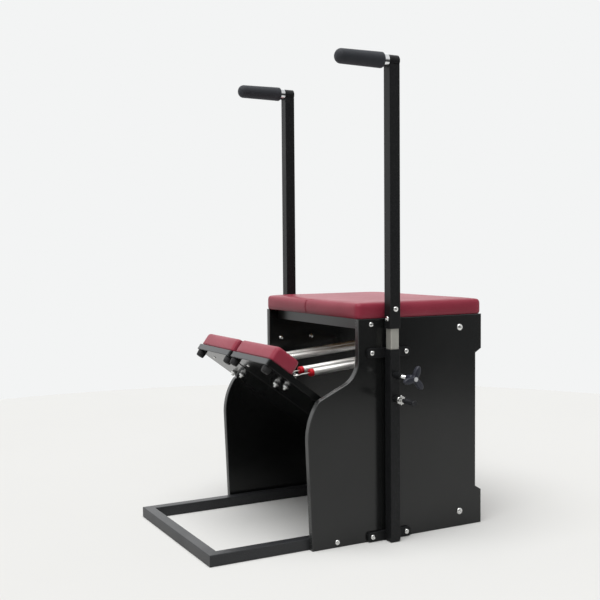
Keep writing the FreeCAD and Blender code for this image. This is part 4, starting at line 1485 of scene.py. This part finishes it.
@dataclass
class Seat:
    """The seat: a vinyl cushion on a plywood board, with one sewn seam on its front."""

    bench: Bench
    corner: float = 0.018
    edge: float = 0.010
    proud: float = 0.004
    voxel: float = 0.005
    inset: float = 0.003
    seam_x: float = -0.013
    seam_height: float = 0.0007
    seam_foot: float = 0.003
    seam_head: float = 0.006
    seam_points: int = 24
    seam_lift: float = 0.0001
    stitch_offset: float = 0.0042
    stitch_pitch: float = 0.0035
    thread_radius: float = 0.00035
    stitch_slimness: float = 3.6

    def build(self) -> None:
        """Builds the cushion and its seam."""
        dress(Coat.BOARD, "seat_board")
        low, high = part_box("seat_cushion")
        stand = Vector((self.proud, self.proud, 0))
        low, high = low - stand, high + stand
        padding = Upholstery(voxel=self.voxel, inset=self.inset)
        cushion = link("seat_vinyl", padding.swell("seat_vinyl", low, high, self.corner, self.edge))
        settle(cushion, Coat.VINYL, "frame", ["seat_cushion"])
        self.seam(cushion, low, high)

    def seam(self, cushion: bpy.types.Object, low: Vector, high: Vector) -> None:
        """Lays the welt of the seam on the front face and sews both its sides.

        Args:
            cushion: The cushion.
            low: The cushion's lowest corner.
            high: Its highest corner.
        """
        data, clear = cushion.data, 0.1
        tree = BVHTree.FromPolygons([v.co for v in data.vertices], [p.vertices for p in data.polygons])
        first, last = low.z + self.seam_foot, high.z - self.seam_head
        runs = []
        for shift in (0.0, -self.stitch_offset, self.stitch_offset):
            run = []
            for i in range(self.seam_points):
                z = first + (last - first) * i / (self.seam_points - 1)
                start = Vector((self.seam_x + shift, low.y - clear, z))
                place, normal, _, _ = tree.ray_cast(start, Vector((0, 1, 0)))
                if place is not None:
                    run.append(place + normal * self.seam_lift)
            runs.append(run)
        welt = self.bench.wiring.grow(
            "seat_seam", runs_mesh(runs[:1]), Coat.SEAM, Wire_Radius=self.seam_height, Sides=8)
        settle(welt, Coat.SEAM, "frame")
        sewn = self.bench.stitching.grow(
            "seat_stitches", runs_mesh(runs[1:]), Coat.SEAM, Pitch=self.stitch_pitch,
            Thread_Radius=self.thread_radius, Slimness=self.stitch_slimness)
        settle(sewn, Coat.SEAM, "frame")


@dataclass
class Pedal:
    """One pedal: a board on two hinge blocks, with a pad, bumpers and eyebolts."""

    bench: Bench
    side: Side
    tilt: float = math.radians(36.5)
    hinge: tuple = (0.3385, 0.043)
    reach: float = 0.738
    drop: float = 0.014
    board_top: float = 0.018
    pad_s: tuple = (0.002, 0.085)
    pad_x: tuple = (0.009, 0.236)
    pad_top: float = 0.062
    pad_corner: float = 0.014
    pad_edge: float = 0.010
    pad_voxel: float = 0.004
    pad_inset: float = 0.003
    bumper_x: tuple = (0.023, 0.222)
    bumper_s: float = 0.016
    bumper_radius: float = 0.013
    bumper_foot: float = 0.0115
    bumper_height: float = 0.017
    eye_x: tuple = (0.112, 0.170)
    eye_s: float = 0.116
    eye_n: float = 0.030
    eye_radius: float = 0.009
    eye_wire: float = 0.0025
    shank_radius: float = 0.004
    shank_tail: float = -0.014
    thread: tuple = (0.00125, 0.0004)
    eye_nut: HexNut = HexNut(0.014, 0.0075, 0.0041)
    pad_screw: DomeBolt = DomeBolt(0.0048, 0.0026, 0.0015, 0.0011)
    pad_screws: tuple = ((0.062, 0.039), (0.175, 0.039))
    block_screw: DomeBolt = DomeBolt(0.0055, 0.0032, 0.0018, 0.0013)
    block_x: tuple = (0.057, 0.188)
    block_s: float = 0.701
    block_n: float = -0.007
    block_shifts: tuple = (-0.011, 0.011)

    @property
    def body(self) -> str:
        """The body that the pedal's pieces ride on."""
        return "pedal_" + self.side.word

    def frame(self) -> Matrix:
        """Gives the matrix from the board's own frame, along and off the board, to the chair's.

        Returns:
            The matrix.
        """
        c, s = math.cos(self.tilt), math.sin(self.tilt)
        turn = Matrix(((1, 0, 0), (0, c, s), (0, -s, c)))
        start = Vector((0, *self.hinge)) - turn @ Vector((0, self.reach, -self.drop))
        return Matrix.Translation(start) @ turn.to_4x4()

    def at(self, x: float, s: float, n: float) -> Vector:
        """Places a point given by its distance from the middle, along the board and off it."""
        return self.frame() @ Vector((self.side.value * x, s, n))

    def way(self, n: int) -> Vector:
        """Gives the direction off the board, up for 1 and down for -1."""
        return self.frame().to_3x3() @ Vector((0, 0, n))

    def build(self) -> None:
        """Builds and dresses the pedal."""
        word = self.side.word
        dress(Coat.PEDAL, "pedal_board_" + word)
        dress(Coat.POWDER, "pedal_hinge_blocks_" + word)
        self.pad()
        self.bumpers()
        self.eyes()
        self.screws()

    def pad(self) -> None:
        """Swells the pad and lays it on the board."""
        word = self.side.word
        xs = sorted(self.side.value * x for x in self.pad_x)
        low, high = (xs[0], self.pad_s[0], self.board_top), (xs[1], self.pad_s[1], self.pad_top)
        padding = Upholstery(voxel=self.pad_voxel, inset=self.pad_inset)
        mesh = padding.swell("pedal_vinyl_" + word, low, high, self.pad_corner, self.pad_edge)
        mesh.transform(self.frame())
        made = settle(link("pedal_vinyl_" + word, mesh), Coat.VINYL, self.body, ["pedal_pad_" + word])

    def bumpers(self) -> None:
        """Turns the rubber bumpers under the board's front edge."""
        r, foot, h, rim = self.bumper_radius, self.bumper_foot, self.bumper_height, 0.0012
        outside = [(0, 0), (r * 0.94, 0), (r, rim), (r, h * 0.2), (foot * 1.02, h * 0.82)]
        end = [(foot * 0.97, h * 0.93), (foot * 0.86, h), (foot * 0.42, h)]
        recess = [(foot * 0.36, h * 0.97), (foot * 0.36, h * 0.7), (0, h * 0.7)]
        spots = [(self.at(x, self.bumper_s, 0), self.way(-1)) for x in self.bumper_x]
        word, shell = self.side.word, turned([*outside, *end, *recess], 40)
        self.bench.plant(
            "pedal_stops_" + word, shell, spots, Coat.RUBBER, self.body, ["pedal_bumpers_" + word])

    def eyes(self) -> None:
        """Bends the eyebolts, turns their shanks and sets their nuts."""
        word, r, sides = self.side.word, self.eye_radius, 40
        turns = [FULL_TURN * i / sides for i in range(sides + 1)]
        top = self.eye_n - r
        rings, shanks = [], []
        for x in self.eye_x:
            rings.append([
                self.at(x, self.eye_s + r * math.sin(a), self.eye_n - r * math.cos(a)) for a in turns
            ])
            shanks.append((self.at(x, self.eye_s, (top + self.shank_tail) / 2), self.way(1)))
        pitch, depth = self.thread
        loops = self.bench.wiring.grow(
            "loops", runs_mesh(rings), Coat.STEEL, Wire_Radius=self.eye_wire, Sides=14)
        rods = self.bench.threading.grow(
            "rods", spots_mesh(shanks), Coat.STEEL, Radius=self.shank_radius,
            Length=top - self.shank_tail, Pitch=pitch, Depth=depth)
        made = merge("pedal_eyes_" + word, loops, rods)
        settle(made, Coat.STEEL, self.body, ["pedal_eyebolts_" + word])
        spots = [(self.at(x, self.eye_s, 0), self.way(-1)) for x in self.eye_x]
        self.bench.plant(
            "pedal_eye_nuts_" + word, self.eye_nut.shell(), spots, Coat.STEEL, self.body,
            ["pedal_eyebolt_nuts_" + word])

    def screws(self) -> None:
        """Sets the screws of the pad and of the hinge blocks."""
        word, down = self.side.word, self.way(-1)
        spots = [(self.at(x, s, 0), down) for x, s in self.pad_screws]
        self.bench.plant("pad_screws_" + word, self.pad_screw.head(), spots, Coat.STEEL, self.body)
        places = [x + shift for x in self.block_x for shift in self.block_shifts]
        spots = [(self.at(x, self.block_s, self.block_n), down) for x in places]
        self.bench.plant("hinge_screws_" + word, self.block_screw.head(), spots, Coat.STEEL, self.body)


def merge(name: str, *parts: bpy.types.Object) -> bpy.types.Object:
    """Joins pieces of one finish to one.

    Args:
        name: The new piece's name.
        parts: The pieces, which are used up.

    Returns:
        The joined piece.
    """
    whole = bmesh.new()
    for part in parts:
        whole.from_mesh(part.data)
    mesh = bpy.data.meshes.new(name)
    whole.to_mesh(mesh)
    whole.free()
    discard(*parts)
    return link(name, smooth(mesh))


@dataclass
class Springs:
    """The two close-wound springs of one pedal, with hooked ends and red caps."""

    bench: Bench
    side: Side
    xs: tuple = (0.112, 0.170)
    eye: tuple = (-0.135327, 0.448349)
    pitch: float = math.radians(5.4227)
    length: float = 0.461894
    coil_radius: float = 0.0085
    wire_radius: float = 0.0015
    coil_insets: tuple = (0.061, 0.048)
    turns: float = 113.0
    hook_radius: float = 0.007
    front_hook: float = 0.0117
    rear_hook: float = 0.0012
    neck: float = 0.026
    cap_insets: tuple = (0.051, 0.038)
    cap_length: float = 0.0112
    cap_radius: float = 0.0106
    cap_hole: float = 0.0026
    cap_gap: float = 0.0001
    cap_break: float = 0.0004
    hook_start: float = math.radians(48)
    hook_turn: float = math.radians(292)
    hook_sink: float = 0.004
    hook_lead: float = 0.006

    def at(self, x: float, along: float, aside: float = 0.0, off: float = 0.0) -> Vector:
        """Places a point by its spring.

        Args:
            x: The spring's distance from the middle of the chair.
            along: How far along the spring from the eye.
            aside: How far to its side.
            off: How far off it.

        Returns:
            The point.
        """
        c, s = math.cos(self.pitch), math.sin(self.pitch)
        y = self.eye[0] + along * c - off * s
        z = self.eye[1] + along * s + off * c
        return Vector((self.side.value * x + aside, y, z))

    @property
    def axis(self) -> Vector:
        """The springs' direction, from the pedal to the tree."""
        return Vector((0, math.cos(self.pitch), math.sin(self.pitch)))

    def hook(self, centre: float, way: int, coil: float) -> list[tuple[float, float]]:
        """Draws a hook with its neck.

        Args:
            centre: Where the loop's middle is along the spring.
            way: 1 where the spring lies towards higher values, -1 where it lies towards lower ones.
            coil: Where the coil begins along the spring.

        Returns:
            Places along the spring and aside from it, from the coil to the hook's tip.
        """
        first, r, lead_in = self.hook_start, self.hook_radius, self.hook_lead
        start = (centre + way * r * math.cos(first), r * math.sin(first))
        neck = centre + way * (self.neck - self.front_hook)
        near = neck - way * self.hook_sink
        lead = (start[0] + way * lead_in * math.sin(first), start[1] - lead_in * math.cos(first))
        run = [(coil + way * self.hook_sink, 0.0), (neck, 0.0)]
        bends, steps = 8, 32
        for i in range(1, bends):
            t = i / bends
            a, b, c, d = (1 - t) ** 3, 3 * t * (1 - t) ** 2, 3 * t * t * (1 - t), t ** 3
            run.append((a * neck + b * near + c * lead[0] + d * start[0], c * lead[1] + d * start[1]))
        for i in range(steps + 1):
            angle = first + self.hook_turn * i / steps
            run.append((centre + way * r * math.cos(angle), r * math.sin(angle)))
        return run

    def build(self) -> None:
        """Winds the springs, bends their hooks and caps them."""
        word = self.side.word
        first, last = self.coil_insets[0], self.length - self.coil_insets[1]
        spots = [(self.at(x, first), self.axis) for x in self.xs]
        coils = self.bench.winding.grow(
            "coils", spots_mesh(spots), Coat.SPRING, Coil_Radius=self.coil_radius, Steps=22,
            Turns=self.turns, Length=last - first, Wire_Radius=self.wire_radius, Sides=8)
        runs = []
        for x in self.xs:
            front = self.hook(self.front_hook, 1, first)
            runs.append([self.at(x, along, aside) for along, aside in front])
            rear = self.hook(self.length - self.rear_hook, -1, last)
            runs.append([self.at(x, along, 0.0, off) for along, off in rear])
        hooks = self.bench.wiring.grow(
            "hooks", runs_mesh(runs), Coat.SPRING, Wire_Radius=self.wire_radius, Sides=10)
        made = merge("spring_wires_" + word, coils, hooks)
        cover(made, Coat.SPRING)
        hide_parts("springs_" + word)
        middle = sum(self.xs) / 2
        start, end = (tuple(self.at(middle, along)) for along in (first, last))
        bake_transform(made)
        report(made)
        self.caps("front", self.cap_insets[0], self.axis)
        self.caps("rear", self.length - self.cap_insets[1], -self.axis)

    def caps(self, end: str, along: float, axis: Vector) -> None:
        """Turns the red caps of one end.

        Args:
            end: Which end.
            along: Where the caps' closed faces are along the springs.
            axis: From the closed face towards the coil.
        """
        word, r, hole, h = self.side.word, self.cap_radius, self.cap_hole, self.cap_length
        inner = self.coil_radius + self.wire_radius + self.cap_gap
        face = [(hole, self.cap_break), (hole + self.cap_break, 0), (r * 0.74, 0)]
        outside = [(r * 0.9, h * 0.035), (r * 0.98, h * 0.1), (r, h * 0.2), (r, h * 0.93)]
        mouth = [(r * 0.985, h * 0.98), (r * 0.95, h), (inner, h), (inner, h * 0.1), (hole, h * 0.1)]
        spots = [(self.at(x, along), axis) for x in self.xs]
        self.bench.plant(
            f"spring_cups_{word}_{end}", turned([*face, *outside, *mouth], loop=True), spots, Coat.CAP,
            f"springs_{word}_{end}", [f"spring_{end}_caps_{word}"])


@dataclass
class Pole:
    """One handle pole with its bar and foam grip."""

    bench: Bench
    side: Side
    x: float = 0.298
    y: float = 0.099
    bar_z: float = 1.277
    grip_y: tuple = (-0.07175, 0.06775)
    grip_radius: float = 0.0195
    grip_root: float = 0.021
    nose: float = 0.017
    collar_length: float = 0.0155
    collar_radius: float = 0.0175
    collar_chamfer: float = 0.0012
    bar_radius: float = 0.0141
    grip_hole: float = 0.004
    tail_round: float = 0.003
    tail_break: float = 0.001
    half: float = 0.01575
    screw: DomeBolt = DomeBolt(0.0072, 0.0042, 0.0022, 0.0016)
    side_screw_z: float = 0.626
    front_screw_z: float = 0.600

    @property
    def body(self) -> str:
        """The body that the pole's pieces ride on."""
        return "pole_" + self.side.word

    def build(self) -> None:
        """Dresses the pole and builds its grip and screws."""
        word, x = self.side.word, self.side.value * self.x
        dress(Coat.TUBE, "pole_tube_" + word)
        dress(Coat.POWDER, "pole_sleeve_" + word)
        dress(Coat.CHROME, "handle_bar_" + word)
        self.grip()
        self.collar()
        spots = [
            ((x + self.side.value * self.half, self.y, self.side_screw_z), (self.side.value, 0, 0)),
            ((x, self.y - self.half, self.front_screw_z), (0, -1, 0)),
        ]
        self.bench.plant("sleeve_screws_" + word, self.screw.head(), spots, Coat.STEEL, self.body)

    def grip(self) -> None:
        """Turns the tapered foam grip with its rounded nose."""
        word, x, steps = self.side.word, self.side.value * self.x, 9
        length, r, root = self.grip_y[1] - self.grip_y[0], self.grip_radius, self.grip_root
        nose = [
            (r - self.nose + self.nose * math.sin(a), self.nose - self.nose * math.cos(a))
            for a in (QUARTER * i / steps for i in range(steps + 1))
        ]
        tail = [(root, length - self.tail_round), (root * 0.99, length - self.tail_break)]
        tail.append((root * 0.95, length))
        floor = length - self.grip_hole
        hole = [(self.bar_radius, length), (self.bar_radius, floor), (0, floor)]
        shell = turned([(0, 0), *nose, *tail, *hole], 56)
        shell.transform(aim((x, self.grip_y[0], self.bar_z), (0, 1, 0)))
        piece("grip_foam_" + word, [shell], Coat.FOAM, self.body, ["handle_grip_" + word])

    def collar(self) -> None:
        """Turns the bright collar between the grip and the saddle."""
        word = self.side.word
        shell = sleeve(self.bar_radius, self.collar_radius, self.collar_length, self.collar_chamfer, 48)
        shell.transform(aim((self.side.value * self.x, self.grip_y[1], self.bar_z), (0, 1, 0)))
        piece("grip_collar_" + word, [shell], Coat.CHROME, self.body, ["handle_collar_" + word])


@dataclass
class ClampKnob:
    """One three-armed clamp knob on its threaded stud."""

    bench: Bench
    side: Side
    place: tuple = (0.099, 0.450)
    hub_x: float = 0.368
    hub_length: float = 0.027
    hub_small: float = 0.008
    hub_large: float = 0.011
    hub_break: float = 0.001
    hub_neck: float = 0.006
    web: tuple = ((0.12, 1.0), (0.4, 0.96), (0.75, 0.93), (0.97, 0.94))
    web_depth: float = 0.004
    web_step: float = 0.0016
    arm_start: float = 0.0008
    arm_thickness: float = 0.013
    reach: float = 0.0355
    waist: float = 0.0095
    arms: int = 3
    slimness: float = 2.1
    first: float = math.radians(70)
    under_draw: float = 0.06
    under_share: float = 0.3
    crown_draw: float = 0.14
    crown_shares: tuple = (0.62, 0.36)
    recess_shares: tuple = (0.62, 0.58)
    stud: tuple = (0.3108, 0.3879)
    stud_radius: float = 0.005
    thread: tuple = (0.0015, 0.0005)
    recess: float = 0.0012

    @property
    def body(self) -> str:
        """The body that the knob rides on."""
        return "clamp_" + self.side.word

    def row(self, share: float, scale: float, x: float) -> list[Point]:
        """Draws one outline of the knob.

        Args:
            share: 0 for the round hub, 1 for the three arms.
            scale: The outline's scale.
            x: Its distance from the middle of the chair.

        Returns:
            The outline's points.
        """
        points, steps = [], 72
        for i in range(steps):
            angle = FULL_TURN * i / steps
            lobe = (0.5 + 0.5 * math.cos(self.arms * (angle - self.first))) ** self.slimness
            arm = self.waist + (self.reach - self.waist) * lobe
            radius = (self.hub_large * (1 - share) + arm * share) * scale
            y = self.place[0] + radius * math.cos(angle)
            z = self.place[1] + radius * math.sin(angle)
            points.append((self.side.value * x, y, z))
        return points

    def build(self) -> None:
        """Builds the knob, its insert and its stud."""
        word, back, thick = self.side.word, self.hub_x + self.hub_length, self.arm_thickness
        small, floor = self.hub_small / self.hub_large, back + thick - self.recess
        rows = [[(self.side.value * self.hub_x, *self.place)], self.row(0, small * 0.9, self.hub_x)]
        rows.append(self.row(0, small, self.hub_x + self.hub_break))
        rows.append(self.row(0, 0.97, back - self.hub_neck))
        for i, (share, scale) in enumerate(self.web):
            rows.append(self.row(share, scale, back - self.web_depth + self.web_step * i))
        for turn in (0.25, 0.5, 0.75, 1.0):
            scale = 1 - self.under_draw + self.under_draw * math.sin(QUARTER * turn)
            rows.append(self.row(1, scale, back + self.arm_start + thick * self.under_share * turn))
        start, rise = self.crown_shares
        for turn in (0.0, 0.25, 0.5, 0.75, 1.0):
            scale = 1 - self.crown_draw + self.crown_draw * math.cos(QUARTER * turn)
            rows.append(self.row(1, scale, back + thick * (start + rise * math.sin(QUARTER * turn))))
        rim, base = self.recess_shares
        rows += [self.row(0, rim, back + thick), self.row(0, base, floor)]
        rows.append([(self.side.value * floor, *self.place)])
        piece("clamp_grip_" + word, [skin(rows)], Coat.NYLON, self.body, ["clamp_knob_" + word], 50.0)
        self.insert(floor)
        spots = [((self.side.value * sum(self.stud) / 2, *self.place), (1, 0, 0))]
        pitch, depth = self.thread
        rod = self.bench.threading.grow(
            "clamp_screw_" + word, spots_mesh(spots), Coat.STEEL, Radius=self.stud_radius,
            Length=self.stud[1] - self.stud[0], Pitch=pitch, Depth=depth)
        settle(rod, Coat.STEEL, self.body, ["clamp_stud_" + word])

    def insert(self, x: float) -> None:
        """Sets the pale insert in the knob's face.

        Args:
            x: Where its back is.
        """
        r, edge = self.hub_large * 0.56, 0.0011
        shell = turned([(0, 0), (r, 0), (r, BREAK), (r * 0.9, edge), (r * 0.4, self.recess), (0, edge)], 32)
        shell.transform(aim((self.side.value * x, *self.place), (self.side.value, 0, 0)))
        piece("clamp_insert_" + self.side.word, [shell], Coat.INSERT, self.body)


@dataclass
class PullPin:
    """One pull pin: a steel plunger with a ribbed knob."""

    side: Side
    place: tuple = (0.099, 0.387)
    start: float = 0.350
    length: float = 0.052
    radius: float = 0.0077
    neck: float = 0.006
    neck_break: float = 0.001
    ribs: int = 7
    rib_start: float = 0.3
    rib_share: float = 0.5
    groove_share: float = 0.945

    def build(self) -> None:
        """Dresses the plunger and turns the knob."""
        word, body = self.side.word, "pin_" + self.side.word
        dress(Coat.STEEL, "pin_plunger_" + word)
        long, r, neck = self.length, self.radius, self.neck
        rings = [(0, 0), (neck * 0.9, 0), (neck, self.neck_break), (neck, long * 0.12)]
        rings.append((r * 0.94, long * 0.26))
        groove, step = r * self.groove_share, long * self.rib_share / self.ribs
        for i in range(self.ribs):
            along = long * (self.rib_start + self.rib_share * i / self.ribs)
            rings += [(r, along), (r, along + step * 0.55)]
            rings += [(groove, along + step * 0.7), (groove, along + step * 0.85)]
        rings += [(r, long * 0.82), (r, long * 0.93), (r * 0.93, long * 0.975), (r * 0.78, long), (0, long)]
        shell = turned(rings, 40)
        shell.transform(aim((self.side.value * self.start, *self.place), (self.side.value, 0, 0)))
        piece("pin_grip_" + word, [shell], Coat.KNOB, body, ["pin_knob_" + word])


# Studio

@dataclass
class Studio:
    """The pale floor, the soft light and the camera."""

    lens: float = 56.4455
    sensor: float = 36.0
    eye: tuple = (2.3883, -1.28795, 0.7839)
    azimuth: float = math.radians(62.0481)
    down: float = math.radians(3.0327)
    roll: float = math.radians(-0.46283)
    wall: Colour = tint(243, 244, 244)
    floor_colour: Colour = tint(228, 228, 226)
    floor_cloud: Colour = tint(218, 217, 214)
    floor_radius: float = 2.8
    floor_sides: int = 96
    floor_roughness: float = 0.8
    cloud_scale: float = 1.2
    cloud_share: float = 0.3
    far: float = 200.0
    ambient: float = 0.15
    mirrored: tuple = (
        ((0.95, 0.0, -0.3), (0.6, 0.85, 1.0, 0.04)),
        ((-0.85, 0.0, 0.53), (0.6, 0.97, 1.0, 1.7)),
    )
    lamps: tuple = (("top_lamp", (0.15, -0.25, 1.0), 60.0, 3.27),)

    def build(self) -> None:
        """Sets the floor, the world, the lamps and the camera."""
        bpy.context.scene.view_settings.view_transform = "Standard"
        self.floor()
        self.world()
        for name, way, spread, strength in self.lamps:
            lamp = bpy.data.lights.new(name, "SUN")
            lamp.angle, lamp.energy = math.radians(spread), strength
            made = bpy.data.objects.new(name, lamp)
            made.rotation_euler = Vector(way).to_track_quat("Z", "Y").to_euler()
            bpy.context.scene.collection.objects.link(made)
        self.camera()

    def floor(self) -> None:
        """Lays the floor."""
        r, sides = self.floor_radius, range(self.floor_sides)
        turns = [FULL_TURN * i / self.floor_sides for i in sides]
        mesh = bpy.data.meshes.new("floor")
        mesh.from_pydata([(r * math.cos(a), r * math.sin(a), 0) for a in turns], [], [tuple(sides)])
        surface = Surface("pale_floor")
        cloud = surface.noise(self.cloud_scale, 4.0) * self.cloud_share
        base = surface.mix(cloud, self.floor_colour, self.floor_cloud)
        mesh.materials.append(surface.close({
            "Base Color": base, "Roughness": self.floor_roughness, "Specular IOR Level": 0.0,
        }))
        link("floor", mesh)

    def world(self) -> None:
        """Sets an even ambient light and a pale wall, which mirrors see brighter or dimmer by direction."""
        world = bpy.data.worlds.new("studio")
        bpy.context.scene.world = world
        world.use_nodes = True
        net = Net(world.node_tree)
        net.tree.nodes.clear()
        rays = net.node("ShaderNodeLightPath")
        kinds = ("Is Camera Ray", "Is Glossy Ray", "Is Transmission Ray")
        camera, glossy, through = (Term(net, rays.outputs[kind]) for kind in kinds)
        seen = net.math("MINIMUM", camera + glossy + through, 1.0)
        sockets = {"Color": (1.0, 1.0, 1.0, 1.0), "Strength": self.ambient}
        light = net.term("ShaderNodeBackground", 0, None, sockets)
        way = Term(net, net.node("ShaderNodeTexCoord").outputs["Generated"])
        dim, bright = (net.span(net.dot(way, towards), *ramp) for towards, ramp in self.mirrored)
        sockets = {"Color": self.wall, "Strength": 1 + glossy * (dim * bright - 1)}
        pale = net.term("ShaderNodeBackground", 0, None, sockets)
        both = net.term("ShaderNodeMixShader", 0, None, {0: seen, 1: light, 2: pale})
        net.node("ShaderNodeOutputWorld", None, {"Surface": both})

    def camera(self) -> None:
        """Sets the camera."""
        a, e, r = self.azimuth, self.down, self.roll
        ahead = Vector((-math.sin(a) * math.cos(e), math.cos(a) * math.cos(e), -math.sin(e)))
        level = Vector((math.cos(a), math.sin(a), 0))
        above = level.cross(ahead)
        right = math.cos(r) * level + math.sin(r) * above
        up = -math.sin(r) * level + math.cos(r) * above
        data = bpy.data.cameras.new("camera")
        data.lens, data.sensor_width = self.lens, self.sensor
        data.clip_end = self.far
        made = bpy.data.objects.new("camera", data)
        made.matrix_world = Matrix.Translation(self.eye) @ Matrix((right, up, -ahead)).transposed().to_4x4()
        bpy.context.scene.collection.objects.link(made)
        bpy.context.scene.camera = made


def main() -> None:
    """Builds the chair and its studio."""
    logging.basicConfig(level=logging.INFO, format="%(name)s: %(message)s")
    bench = Bench()
    Studio().build()
    Carcase(bench).build()
    Fasteners(bench).build()
    Seat(bench).build()
    for side in Side:
        Pedal(bench, side).build()
        Springs(bench, side).build()
        Pole(bench, side).build()
        ClampKnob(bench, side).build()
        PullPin(side).build()


if __name__ == "__main__":
    main()
